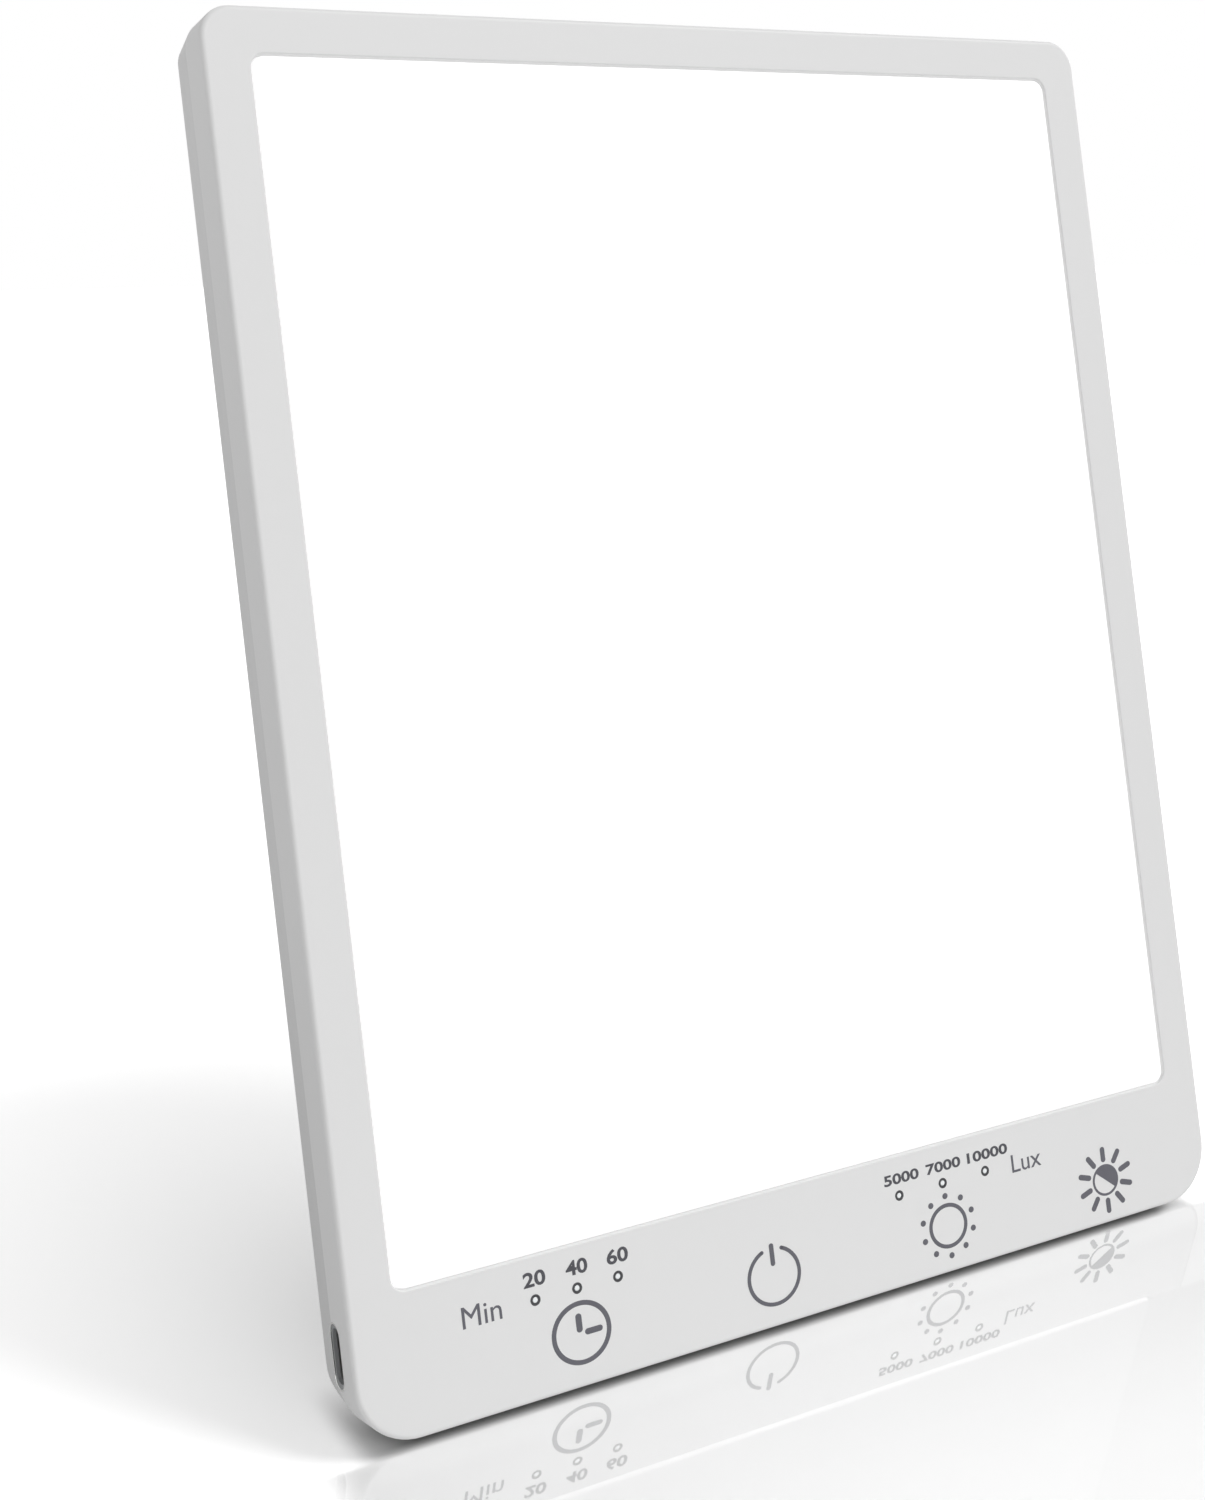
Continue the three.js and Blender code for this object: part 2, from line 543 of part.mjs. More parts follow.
const sheetAt = (front, thickness) => slab(sheetOutline(), [front, front + thickness]);
const lightGuidePlate = () => sheetAt(lightGuideFront, LIGHT_GUIDE_THICKNESS);
const reflectorSheet = () => sheetAt(reflectorFront, REFLECTOR_THICKNESS);

// The backplate: a sheet with a wing along each side that carries an LED tape
const backplate = () => {
  const spanZ = [windowMiddleZ - sheetHeight / 2, windowMiddleZ + sheetHeight / 2];
  const outerX = plateWingX + BACKPLATE_THICKNESS;
  return joined([
    block([-outerX, outerX], [backplateFront, backplateRear], spanZ),
    ...[[-outerX, -plateWingX], [plateWingX, outerX]].map((spanX) => block(
      spanX, [lightGuideFront, backplateFront + BACKPLATE_THICKNESS / 2], wingSpanZ,
    )),
  ]);
};

// An LED tape that stands on the light guide's edge, with its row of LEDs facing in
const ledStrip = (side) => {
  const middleY = lightGuideFront + LIGHT_GUIDE_THICKNESS / 2;
  const tape = block(
    mirrored(side, [ledTapeX, ledTapeX + LED_TAPE_THICKNESS]),
    [middleY - LED_TAPE_WIDTH / 2, middleY + LED_TAPE_WIDTH / 2], wingSpanZ,
  );
  const count = Math.floor((wingSpanZ[1] - wingSpanZ[0] - LED_PITCH) / LED_PITCH) + 1;
  const firstZ = (wingSpanZ[0] + wingSpanZ[1] - (count - 1) * LED_PITCH) / 2;
  const leds = Array.from({ length: count }, (_, index) => {
    const z = firstZ + index * LED_PITCH;
    return block(
      mirrored(side, [ledFaceX, ledTapeX + LED_TAPE_THICKNESS / 2]),
      [middleY - LED_WIDTH / 2, middleY + LED_WIDTH / 2], [z - LED_LENGTH / 2, z + LED_LENGTH / 2],
    );
  });
  return joined([tape, ...leds]);
};

// The control board, rounded to the case's corner and cut away around the case posts
const controlBoard = () => {
  const sheet = block([boardLeft, boardRight], [BOARD_FRONT_DEPTH, boardRearDepth], [BOARD_BOTTOM, BOARD_TOP])
    .intersect(slab(panelOutline(SIDE_WALL + REAR_TAPER), [BOARD_FRONT_DEPTH, boardRearDepth]));
  const relief = CASE_POST_DIAMETER + 2 * CLEARANCE;
  const depths = [BOARD_FRONT_DEPTH - CUT_OVERRUN, boardRearDepth + CUT_OVERRUN];
  const notches = caseScrewX.flatMap((x) => [
    rodY(relief, x, CASE_SCREW_Z, depths, ROD_SIDES),
    block([x - relief / 2, x + relief / 2], depths, [BOARD_BOTTOM - CUT_OVERRUN, CASE_SCREW_Z]),
  ]);
  const holes = boardScrewPlaces.map(({ x, z }) => rodY(screwHole(BOARD_SCREW), x, z, depths));
  return cutBy(sheet, [...notches, ...holes]);
};

// A plain part on the board's front, given by its middle, size and height
const boardPart = (x, z, [width, height, rise]) => block(
  [x - width / 2, x + width / 2], [boardPartsRear - rise, boardPartsRear], [z - height / 2, z + height / 2],
);

const BOARD_PART_SIZES = {
  controller_chip: CONTROLLER_CHIP_SIZE,
  driver_chip: DRIVER_CHIP_SIZE,
  driver_inductor: DRIVER_INDUCTOR_SIZE,
  driver_capacitor: DRIVER_CAPACITOR_SIZE,
  led_plug_left: LED_PLUG_SIZE,
  led_plug_right: LED_PLUG_SIZE,
};
const BOARD_PART_LOOKS = {
  controller_chip: BLACK_RESIN,
  driver_chip: BLACK_RESIN,
  driver_inductor: BLACK_RESIN,
  driver_capacitor: TIN_PLATE,
  led_plug_left: LED_TAPE_WHITE,
  led_plug_right: LED_TAPE_WHITE,
};
const boardPartPlace = (name) => {
  const [along, up] = BOARD_PART_PLACE_SHARES[name];
  return { x: alongBoard(along), z: upBoard(up) };
};

// A helix with its axis along y, wound from the board towards the face
class SpringCurve extends THREE.Curve {
  constructor(x, z, radius, [y0, y1], turns) {
    super();
    Object.assign(this, { x, z, radius, y0, y1, turns });
  }

  getPoint(t, target = new THREE.Vector3()) {
    const angle = 2 * Math.PI * this.turns * t;
    return target.set(
      this.x + this.radius * Math.cos(angle),
      THREE.MathUtils.lerp(this.y0, this.y1, t),
      this.z + this.radius * Math.sin(angle),
    );
  }
}

const wireSection = (diameter, sides) => new THREE.Shape(Array.from({ length: sides }, (_, index) => {
  const angle = 2 * Math.PI * index / sides;
  return new THREE.Vector2(diameter / 2 * Math.cos(angle), diameter / 2 * Math.sin(angle));
}));

const touchSpring = (index) => {
  const wireHalf = TOUCH_SPRING_WIRE / 2;
  const curve = new SpringCurve(
    buttonX(index), BUTTON_Z, TOUCH_SPRING_DIAMETER / 2 - wireHalf,
    [boardPartsRear - wireHalf, FACE_WALL + CLEARANCE + wireHalf], TOUCH_SPRING_TURNS,
  );
  const geometry = new THREE.ExtrudeGeometry(wireSection(TOUCH_SPRING_WIRE, SPRING_WIRE_SIDES), {
    extrudePath: curve, steps: TOUCH_SPRING_TURNS * SPRING_STEPS_PER_TURN, bevelEnabled: false,
  });
  return asSolid(geometry);
};

// Least gap between one turn of a touch spring and the next, measured on its points
const springSelfGap = () => {
  const rise = boardPartsRear - FACE_WALL - CLEARANCE - TOUCH_SPRING_WIRE;
  return rise / TOUCH_SPRING_TURNS - TOUCH_SPRING_WIRE;
};
console.log(`touch spring: least gap between turns ${springSelfGap().toFixed(2)} mm`);

// Three clear studs on one bar, which bring the board's lights to the face
const lightPipe = (places) => {
  const barFront = FACE_WALL + CLEARANCE;
  const pipeRear = boardPartsRear - INDICATOR_LED_HEIGHT - CLEARANCE;
  const bar = block(
    [places[0] - LIGHT_PIPE_BAR_WIDTH / 2, places[2] + LIGHT_PIPE_BAR_WIDTH / 2],
    [barFront, barFront + LIGHT_PIPE_BAR_THICKNESS],
    [INDICATOR_Z - LIGHT_PIPE_BAR_WIDTH / 2, INDICATOR_Z + LIGHT_PIPE_BAR_WIDTH / 2],
  );
  const studs = places.map((x) => rodY(INDICATOR_PIPE_DIAMETER, x, INDICATOR_Z, [0, pipeRear]));
  return joined([bar, ...studs]);
};

const INDICATOR_LED_SIZE = [INDICATOR_LED_WIDTH, INDICATOR_LED_WIDTH, INDICATOR_LED_HEIGHT];
const indicatorLed = (x) => boardPart(x, INDICATOR_Z, INDICATOR_LED_SIZE);

// Charging socket: a folded metal shell, closed at its inner end, round a contact tongue
const socketShell = () => {
  const endX = socketMouthX + SOCKET_SHELL_REACH;
  const inner = socketPrism(
    SOCKET_SHELL_LENGTH - 2 * SOCKET_SHELL_WALL, SOCKET_SHELL_WIDTH - 2 * SOCKET_SHELL_WALL,
    [socketMouthX - CUT_OVERRUN, endX - 2 * SOCKET_SHELL_WALL],
  );
  return socketPrism(SOCKET_SHELL_LENGTH, SOCKET_SHELL_WIDTH, [socketMouthX, endX]).subtract(inner);
};

const socketTongue = () => {
  const rearX = socketMouthX + SOCKET_SHELL_REACH - 2 * SOCKET_SHELL_WALL - CLEARANCE;
  return block(
    [rearX - SOCKET_TONGUE_REACH, rearX],
    [SOCKET_DEPTH - SOCKET_TONGUE_THICKNESS / 2, SOCKET_DEPTH + SOCKET_TONGUE_THICKNESS / 2],
    [SOCKET_Z - SOCKET_TONGUE_LENGTH / 2, SOCKET_Z + SOCKET_TONGUE_LENGTH / 2],
  );
};

// A pan-head screw with a cross recess, pointing to the front from its seat
const panScrew = ({ thread, head, headHeight, length }, x, z, seat) => {
  const top = seat + headHeight;
  const slotDepths = [top - headHeight / 2, top + CUT_OVERRUN];
  const slotWide = head / 12;
  const slotLong = head / 3;
  const slot = (reachX, reachZ) => block([x - reachX, x + reachX], slotDepths, [z - reachZ, z + reachZ]);
  return cutBy(
    joined([
      rodY(head, x, z, [seat, top], SCREW_SIDES),
      rodY(thread, x, z, [seat - length, seat + headHeight / 2], SCREW_SIDES),
    ]),
    [slot(slotLong, slotWide), slot(slotWide, slotLong)],
  );
};

// Rubber feet, cut level where they meet the floor
const bottomFoot = (side) => block(
  mirrored(side, footSpan),
  [FOOT_FRONT_DEPTH, FOOT_FRONT_DEPTH + FOOT_WIDTH],
  [-FLOOR_DROP, FOOT_POCKET_HEIGHT - CLEARANCE],
).subtract(belowFloor());

// Kickstand, in its own frame: the hinge axis is x, and the leg hangs down along -z
const kickstand = () => {
  const shoulder = -STAND_SHOULDER_DROP;
  const leg = slab(
    roundedOutline(STAND_WIDTH, standFootTop, shoulder, CLEARANCE, STAND_CORNER_RADIUS),
    [standFront, standRear],
  );
  const barrelSpan = [-barrelWidth / 2, barrelWidth / 2];
  const neck = block(barrelSpan, [standFront, standRear], [shoulder - STAND_CORNER_RADIUS, 0]);
  const heel = block(barrelSpan, [standFront, standRear], [0, heelReach]);
  const barrel = rodX(BARREL_DIAMETER, 0, 0, barrelSpan);
  const middleY = (standFront + standRear) / 2;
  const tongue = block(
    [-STAND_WIDTH / 2 + STAND_CORNER_RADIUS, STAND_WIDTH / 2 - STAND_CORNER_RADIUS],
    [middleY - STAND_TONGUE_THICKNESS / 2, middleY + STAND_TONGUE_THICKNESS / 2],
    [standFootTop - STAND_TONGUE_REACH, standFootTop + STAND_TONGUE_REACH],
  );
  const bores = [-1, 1].map((side) => {
    const inner = side * (barrelWidth / 2 - HINGE_PIN_REACH - CLEARANCE);
    const outer = side * (barrelWidth / 2 + CUT_OVERRUN);
    return rodX(HINGE_PIN_DIAMETER + 2 * CLEARANCE, 0, 0, [Math.min(inner, outer), Math.max(inner, outer)]);
  });
  return cutBy(joined([leg, neck, heel, barrel, tongue]), bores);
};

const standFoot = () => {
  const middleY = (standFront + standRear) / 2;
  const top = standFootTop - CLEARANCE;
  const low = -standReachAt(standRear) - CUT_OVERRUN;
  const body = slab(
    roundedOutline(STAND_WIDTH, low, top, STAND_CORNER_RADIUS / 2, CLEARANCE), [standFront, standRear],
  );
  const slotHalf = STAND_TONGUE_THICKNESS / 2 + CLEARANCE;
  const slot = block(
    [-STAND_WIDTH / 2 + STAND_CORNER_RADIUS - CLEARANCE, STAND_WIDTH / 2 - STAND_CORNER_RADIUS + CLEARANCE],
    [middleY - slotHalf, middleY + slotHalf],
    [standFootTop - STAND_TONGUE_REACH - CLEARANCE, top + CUT_OVERRUN],
  );
  const floor = new THREE.BoxGeometry(2 * STAND_WIDTH, PANEL_HEIGHT, PANEL_HEIGHT);
  floor.translate(0, 0, -axisAboveFloor - PANEL_HEIGHT / 2);
  floor.rotateX(-standAngle);
  return cutBy(body, [slot, asSolid(floor)]);
};

// Hinge hardware beside the barrel, one set on each side
const hingeBracket = (side) => {
  const floor = pocketFloorDepth + CLEARANCE;
  const earHalf = BARREL_DIAMETER / 2;
  const ear = joined([
    rodX(BARREL_DIAMETER, hingeAxisDepth, HINGE_HEIGHT, mirrored(side, [earInnerX, earOuterX])),
    block(mirrored(side, [earInnerX, earOuterX]), [floor, hingeAxisDepth],
      [HINGE_HEIGHT - earHalf, HINGE_HEIGHT + earHalf]),
  ]);
  const base = block(mirrored(side, [earInnerX, hingeBaseOuterX]), [floor, hingeBaseRear],
    [HINGE_HEIGHT - HINGE_BASE_HALF_HEIGHT, HINGE_HEIGHT + HINGE_BASE_HALF_HEIGHT]);
  const pinHole = rodX(HINGE_PIN_DIAMETER + 2 * CLEARANCE, hingeAxisDepth, HINGE_HEIGHT,
    mirrored(side, [earInnerX - CUT_OVERRUN, earOuterX + CUT_OVERRUN]));
  const screwHoles = hingeScrewPlaces().filter(({ x }) => x * side > 0).map(({ x, z }) => rodY(
    screwHole(HINGE_SCREW), x, z, [floor - CUT_OVERRUN, hingeBaseRear + CUT_OVERRUN],
  ));
  const headReliefHalf = HINGE_PIN_HEAD.diameter / 2 + CLEARANCE;
  const headRelief = block(
    mirrored(side, [earOuterX, earOuterX + HINGE_PIN_HEAD.height + 2 * CLEARANCE]),
    [floor - CUT_OVERRUN, hingeBaseRear + CUT_OVERRUN],
    [HINGE_HEIGHT - headReliefHalf, HINGE_HEIGHT + headReliefHalf],
  );
  return cutBy(joined([ear, base]), [pinHole, headRelief, ...screwHoles]);
};

const hingePin = (side) => {
  const headX = earOuterX + CLEARANCE;
  return joined([
    rodX(HINGE_PIN_DIAMETER, hingeAxisDepth, HINGE_HEIGHT,
      mirrored(side, [barrelWidth / 2 - HINGE_PIN_REACH, headX + HINGE_PIN_HEAD.height / 2])),
    rodX(HINGE_PIN_HEAD.diameter, hingeAxisDepth, HINGE_HEIGHT,
      mirrored(side, [headX, headX + HINGE_PIN_HEAD.height])),
  ]);
};

const hingeWasher = (side) => {
  const inner = barrelWidth / 2 + CLEARANCE;
  const span = mirrored(side, [inner, inner + HINGE_WASHER_THICKNESS]);
  const bore = mirrored(side, [inner - CUT_OVERRUN, inner + HINGE_WASHER_THICKNESS + CUT_OVERRUN]);
  return rodX(BARREL_DIAMETER - CLEARANCE, hingeAxisDepth, HINGE_HEIGHT, span)
    .subtract(rodX(HINGE_PIN_DIAMETER + 2 * CLEARANCE, hingeAxisDepth, HINGE_HEIGHT, bore));
};

// A thin lead from an LED tape down to its plug on the board
const ledWire = (side) => {
  const plug = boardPartPlace(side < 0 ? 'led_plug_left' : 'led_plug_right');
  const [plugWidth, , plugRise] = LED_PLUG_SIZE;
  const plugEndX = plug.x + side * (plugWidth / 2 + CLEARANCE);
  const plugY = boardPartsRear - plugRise / 2;
  const tapeX = side * (ledTapeX + LED_TAPE_THICKNESS / 2);
  const tapeY = lightGuideFront + LIGHT_GUIDE_THICKNESS / 2;
  const tapeZ = wingSpanZ[0] - CLEARANCE;
  const straight = 2 * LED_WIRE_DIAMETER;
  const curve = new THREE.CatmullRomCurve3([
    new THREE.Vector3(plugEndX, plugY, plug.z),
    new THREE.Vector3(plugEndX + side * straight, plugY, plug.z),
    new THREE.Vector3(tapeX - side * straight / 2, (plugY + tapeY) / 2, (plug.z + tapeZ) / 2),
    new THREE.Vector3(tapeX, tapeY, tapeZ - straight),
    new THREE.Vector3(tapeX, tapeY, tapeZ),
  ]);
  const geometry = new THREE.ExtrudeGeometry(wireSection(LED_WIRE_DIAMETER, LED_WIRE_SIDES), {
    extrudePath: curve, steps: LED_WIRE_STEPS, bevelEnabled: false,
  });
  return asSolid(geometry);
};

// Scene graph
const meshOf = (name, solid, look) => {
  const mesh = new THREE.Mesh(asGeometry(solid), new THREE.MeshStandardMaterial(look));
  mesh.name = name;
  return mesh;
};

const SIDES = [{ side: -1, label: 'left' }, { side: 1, label: 'right' }];

const panel = new THREE.Group();
panel.add(
  meshOf('front_bezel', frontBezel(), WHITE_PLASTIC),
  meshOf('rear_cover', rearCover(), WHITE_PLASTIC),
  meshOf('diffuser_panel', diffuserPanel(), OPAL_ACRYLIC),
  meshOf('light_guide_plate', lightGuidePlate(), CLEAR_ACRYLIC),
  meshOf('reflector_sheet', reflectorSheet(), WHITE_FILM),
  meshOf('backplate', backplate(), ALUMINIUM),
  meshOf('control_board', controlBoard(), BOARD_GREEN),
  meshOf('usb_socket_shell', socketShell(), TIN_PLATE),
  meshOf('usb_socket_tongue', socketTongue(), BLACK_RESIN),
  meshOf('light_pipe_timer', lightPipe(timerIndicators), CLEAR_ACRYLIC),
  meshOf('light_pipe_lux', lightPipe(luxIndicators), CLEAR_ACRYLIC),
);
for (const [name, size] of Object.entries(BOARD_PART_SIZES)) {
  const { x, z } = boardPartPlace(name);
  panel.add(meshOf(name, boardPart(x, z, size), BOARD_PART_LOOKS[name]));
}
BUTTON_NAMES.forEach((name, index) => panel.add(meshOf(`touch_spring_${name}`, touchSpring(index), STEEL)));
['20', '40', '60'].forEach((minutes, index) => panel.add(
  meshOf(`timer_led_${minutes}`, indicatorLed(timerIndicators[index]), LED_TAPE_WHITE),
));
['5000', '7000', '10000'].forEach((lux, index) => panel.add(
  meshOf(`lux_led_${lux}`, indicatorLed(luxIndicators[index]), LED_TAPE_WHITE),
));
boardScrewPlaces.forEach(({ name, x, z }) => panel.add(
  meshOf(`board_screw_${name}`, panScrew(BOARD_SCREW, x, z, boardRearDepth + CLEARANCE), STEEL),
));
caseScrewX.forEach((x, index) => panel.add(meshOf(
  `case_screw_${index + 1}`,
  panScrew(CASE_SCREW, x, CASE_SCREW_Z, PANEL_DEPTH - CASE_COUNTERBORE_DEPTH + CLEARANCE), STEEL,
)));
hingeScrewPlaces().forEach(({ x, z }, index) => panel.add(
  meshOf(`hinge_screw_${index + 1}`, panScrew(HINGE_SCREW, x, z, hingeBaseRear + CLEARANCE), STEEL),
));
for (const { side, label } of SIDES) {
  panel.add(
    meshOf(`led_strip_${label}`, ledStrip(side), LED_TAPE_WHITE),
    meshOf(`led_wire_${label}`, ledWire(side), CABLE_WHITE),
    meshOf(`bottom_foot_${label}`, bottomFoot(side), GREY_RUBBER),
    meshOf(`hinge_bracket_${label}`, hingeBracket(side), STEEL),
    meshOf(`hinge_pin_${label}`, hingePin(side), STEEL),
    meshOf(`hinge_washer_${label}`, hingeWasher(side), STEEL),
  );
}

const stand = new THREE.Group();
stand.position.set(0, hingeAxisDepth, HINGE_HEIGHT);
stand.rotation.x = standOpen;
stand.add(
  meshOf('kickstand', kickstand(), WHITE_PLASTIC),
  meshOf('kickstand_foot', standFoot(), GREY_RUBBER),
);
panel.add(stand);
panel.rotation.x = -lean;

// The lamp stands on the floor, with the middle of its footprint on the origin
const lamp = new THREE.Group();
lamp.add(panel);
lamp.updateMatrixWorld(true);
const bounds = new THREE.Box3().setFromObject(lamp, true);
panel.position.set(
  -(bounds.min.x + bounds.max.x) / 2, -(bounds.min.y + bounds.max.y) / 2, -bounds.min.z,
);

export default lamp;
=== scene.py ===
import json
import math
from contextlib import contextmanager

import bmesh
import bpy
from mathutils import Matrix, Vector


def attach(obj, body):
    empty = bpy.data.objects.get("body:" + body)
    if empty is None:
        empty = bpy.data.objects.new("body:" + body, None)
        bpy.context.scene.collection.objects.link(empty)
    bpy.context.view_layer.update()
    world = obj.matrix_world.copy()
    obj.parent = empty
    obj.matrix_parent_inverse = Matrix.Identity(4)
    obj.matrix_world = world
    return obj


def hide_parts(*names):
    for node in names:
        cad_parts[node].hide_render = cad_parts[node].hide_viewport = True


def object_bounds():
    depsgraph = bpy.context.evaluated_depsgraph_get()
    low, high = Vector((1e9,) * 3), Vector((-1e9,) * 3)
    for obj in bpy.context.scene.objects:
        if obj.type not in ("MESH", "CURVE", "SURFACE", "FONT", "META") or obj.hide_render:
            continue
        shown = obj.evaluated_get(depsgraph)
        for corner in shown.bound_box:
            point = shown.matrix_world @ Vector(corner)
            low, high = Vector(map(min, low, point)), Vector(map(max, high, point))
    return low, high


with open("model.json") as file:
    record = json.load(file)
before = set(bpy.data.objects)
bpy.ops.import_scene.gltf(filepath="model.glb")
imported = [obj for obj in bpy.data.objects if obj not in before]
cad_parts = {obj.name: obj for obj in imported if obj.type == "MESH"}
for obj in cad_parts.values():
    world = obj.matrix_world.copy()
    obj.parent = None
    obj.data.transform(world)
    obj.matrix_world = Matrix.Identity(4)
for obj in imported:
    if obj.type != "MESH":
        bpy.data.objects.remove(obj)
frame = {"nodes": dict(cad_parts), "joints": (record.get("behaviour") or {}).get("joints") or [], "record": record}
cad_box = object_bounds()
bpy.context.scene.view_settings.view_transform = "Standard"

MM = 0.001
X, Y, Z = 0, 1, 2

# Modelling: how near counts as the same place or direction, and how far smooth shading reaches, in degrees
SAME_PLACE = 2e-6
PARALLEL = 0.999
WELD = 1e-7
SMOOTH = 35
SCREW_SMOOTH = 50
SHARP_ANGLE = math.radians(40)
FULL_ROUND = 0.999  # a round end's share of the half width, just short of a face without width
STROKE_ROUND = 0.99

# Camera: the photograph's viewing angle, for an image of 1205 by 1500
CAMERA_PLACE = Vector((-204.3, -312.1, 197.3)) * MM
CAMERA_PITCH_DOWN = math.radians(10.98)
CAMERA_HEADING = math.radians(-29.47)
CAMERA_LENS_MM = 50.51
SENSOR_HEIGHT_MM = 36
CAMERA_SHIFT = (0.0011, -0.1002)
CAMERA_NEAR = 0.01

# Lamp: how it leans, and the sizes of its case
LEAN = math.radians(13.7)
PARTING = 7.5 * MM
TOP_RADIUS = 5.6 * MM
BOTTOM_RADIUS = 10.4 * MM
REAR_TAPER = 1.4 * MM
FRONT_ROUND = 0.9 * MM
REAR_ROUND = 1.3 * MM
SIDE_WALL = 2 * MM
FACE_WALL = 2 * MM
BACK_WALL = 1.8 * MM
GAP = 0.3 * MM
OVERRUN = 3 * MM
SLIVER = 0.1 * MM
# The rear half and the kickstand take the case colour darkened by this factor, which paints the shade on the
# tapered rear
SHADED_BACK_TONE = 0.88
CORNER_STEPS = 14
ROUND_STEPS = 5
MOUTH_STEPS = 3

# Window and light sheet
WINDOW_RADIUS = 2.6 * MM
WINDOW_RIM = 0.25 * MM
WINDOW_STEPS = 10
SHEET_OVERLAP = 1.8 * MM
SHEET_ROUND = 0.2 * MM

# Charging socket in the left side
SOCKET_LENGTH = 10.4 * MM
SOCKET_WIDTH = 3.8 * MM
SOCKET_RIM = 0.4 * MM
SOCKET_STEPS = 8
SHELL_WALL = 0.35 * MM
SHELL_EDGE = 0.1 * MM
GASKET_GAP = 0.04 * MM
GASKET_SETBACK = 0.3 * MM
GASKET_DEPTH = 1.5 * MM
TRIM_SETBACK = 0.02 * MM
TRIM_WIDTH = 0.38 * MM
TRIM_STEPS = 10
TONGUE_EDGE = 0.12 * MM
CONTACTS = 6
CONTACT_SETBACK = 0.5 * MM
CONTACT_LENGTH = 3 * MM
CONTACT_RISE = 0.03 * MM

# Back: kickstand recess, screw seats and foot pockets
RECESS_HALF_WIDTH = 30 * MM
RECESS_DEPTH = 3.5 * MM
RECESS_TOP = 132.8 * MM
RECESS_RADIUS = 2 * MM
RECESS_STEPS = 6
RIM_ROUND = 0.35 * MM
POCKET_DEPTH = 5 * MM
POCKET_BOTTOM = 121.6 * MM
NOTCH_RADIUS = 9 * MM
NOTCH_HEIGHT = 22 * MM
NOTCH_LIFT = SLIVER / 5
POST_RADIUS = 3 * MM
POST_REAR = 10 * MM
SEAT_FRONT = 10.4 * MM
BORE_RADIUS = 1.3 * MM
BORE_FRONT = 5.5 * MM
COUNTERBORE_DEPTH = 4 * MM
COUNTERBORE_RADIUS = 2.3 * MM
COUNTERBORE_RIM = 0.2 * MM
FOOT_POCKET_HEIGHT = 1.4 * MM

# Screws: the cross recess as shares of its reach, and the head's width over that reach
CASE_HEAD = 1.6 * MM
CASE_THREAD = 2 * MM
HINGE_HEAD = 1 * MM
HINGE_THREAD = 1.6 * MM
HEAD_DOME = 0.6
CROSS_WIDTH = 0.25
CROSS_DEPTH = 0.75
CROSS_TIP = 0.45
HEAD_TO_CROSS = 3.4

# Hinge, kickstand and feet
EAR_THICKNESS = 1.2 * MM
BASE_THICKNESS = 1 * MM
BRACKET_CORNER = 1.2 * MM
BRACKET_EDGE = 0.1 * MM
WASHER_EDGE = 0.06 * MM
BARREL_RADIUS = 2.2 * MM
BARREL_ROUND = 0.25 * MM
PIN_RADIUS = 1 * MM
PIN_HEAD = 1 * MM
HINGE_SPACE = 10 * MM
STAND_THICKNESS = 3 * MM
SHOULDER_DROP = 7 * MM
SHOULDER_RADIUS = 6 * MM
LEG_ROUND = 0.45 * MM
TONGUE_THICKNESS = 1.2 * MM
GROOVES = 2
GROOVE_PITCH = 1.9 * MM
GROOVE_RADIUS = 0.45 * MM
STAND_FOOT_EDGE = 0.15 * MM
EDGE_FOOT_CORNER = 1.5 * MM
EDGE_FOOT_EDGE = 0.25 * MM

# Indicator studs, and the holes and sleeves round them
PIPE_BAR = 1.5 * MM
PIPE_CORNER = 0.8 * MM
STUD_RADIUS = 0.5 * MM
STUD_ROUND = 0.15 * MM
STUD_HOLE_RADIUS = 0.8 * MM
STUD_HOLE_RIM = 0.08 * MM
SLEEVE_INNER = 0.52 * MM
SLEEVE_OUTER = 0.79 * MM
SLEEVE_LIP = 0.93 * MM
SLEEVE_REAR = 1.2 * MM

# Ink on the control strip. Its places are in millimetres from the middle of the lower edge.
# Rings and the arc: outer radius and width. Strokes: near end, far end and width.
INK_SLOT = "ink"
INK = 0.03 * MM  # half its thickness
PRINT_STRETCH = (1.03, 1, 0.96, 1)
TIMER_PLACE = (-50.2, 8.97)
TIMER_RING = (5.45 * MM, 0.85 * MM)
TIMER_HANDS = (
    ((-0.3, 0), 0, 0.1 * MM, 3.35 * MM, 1.1 * MM),
    ((0, -0.1), math.pi / 2, 0.6 * MM, 3.85 * MM, 1.05 * MM))
POWER_PLACE = (-11.85, 8.8)
POWER_ARC = (5.4 * MM, 0.7 * MM, math.radians(23))
POWER_STROKE = (1.8 * MM, 5.9 * MM, 0.9 * MM)
RAYS = 10
SUN_PLACE = (26.45, 8.46)
SUN_RING = (4.25 * MM, 0.76 * MM)
SUN_DOT_REACH = 5.65 * MM
SUN_DOT_RADIUS = 0.57 * MM
HALF_SUN_PLACE = (64.5, 8.2)
HALF_SUN_RING = (3.1 * MM, 0.5 * MM)
HALF_SUN_RAY = (3.55 * MM, 6.6 * MM, 1.08 * MM)
HALF_SUN_DISC = 2.9 * MM
HALF_SUN_LINE = math.radians(40)

# Words: how bold they are, and for each its left, lower, right and upper limit
WORDS = {
    "timer_scale": (0.026, (
        ("20", -59.75, 18.5, -55.65, 21.0),
        ("40", -51.85, 18.5, -47.75, 21.0),
        ("60", -44.05, 18.5, -39.95, 21.0))),
    "lux_scale": (0.026, (
        ("5000", 13.4, 18.4, 21.2, 20.35),
        ("7000", 22.9, 18.4, 30.8, 20.35),
        ("10000", 32.4, 18.4, 41.9, 20.35))),
    "scale_units": (0.0, (
        ("Min", -71.2, 14.9, -64.1, 18.36),
        ("Lux", 42.5, 14.45, 49.5, 17.76))),
}
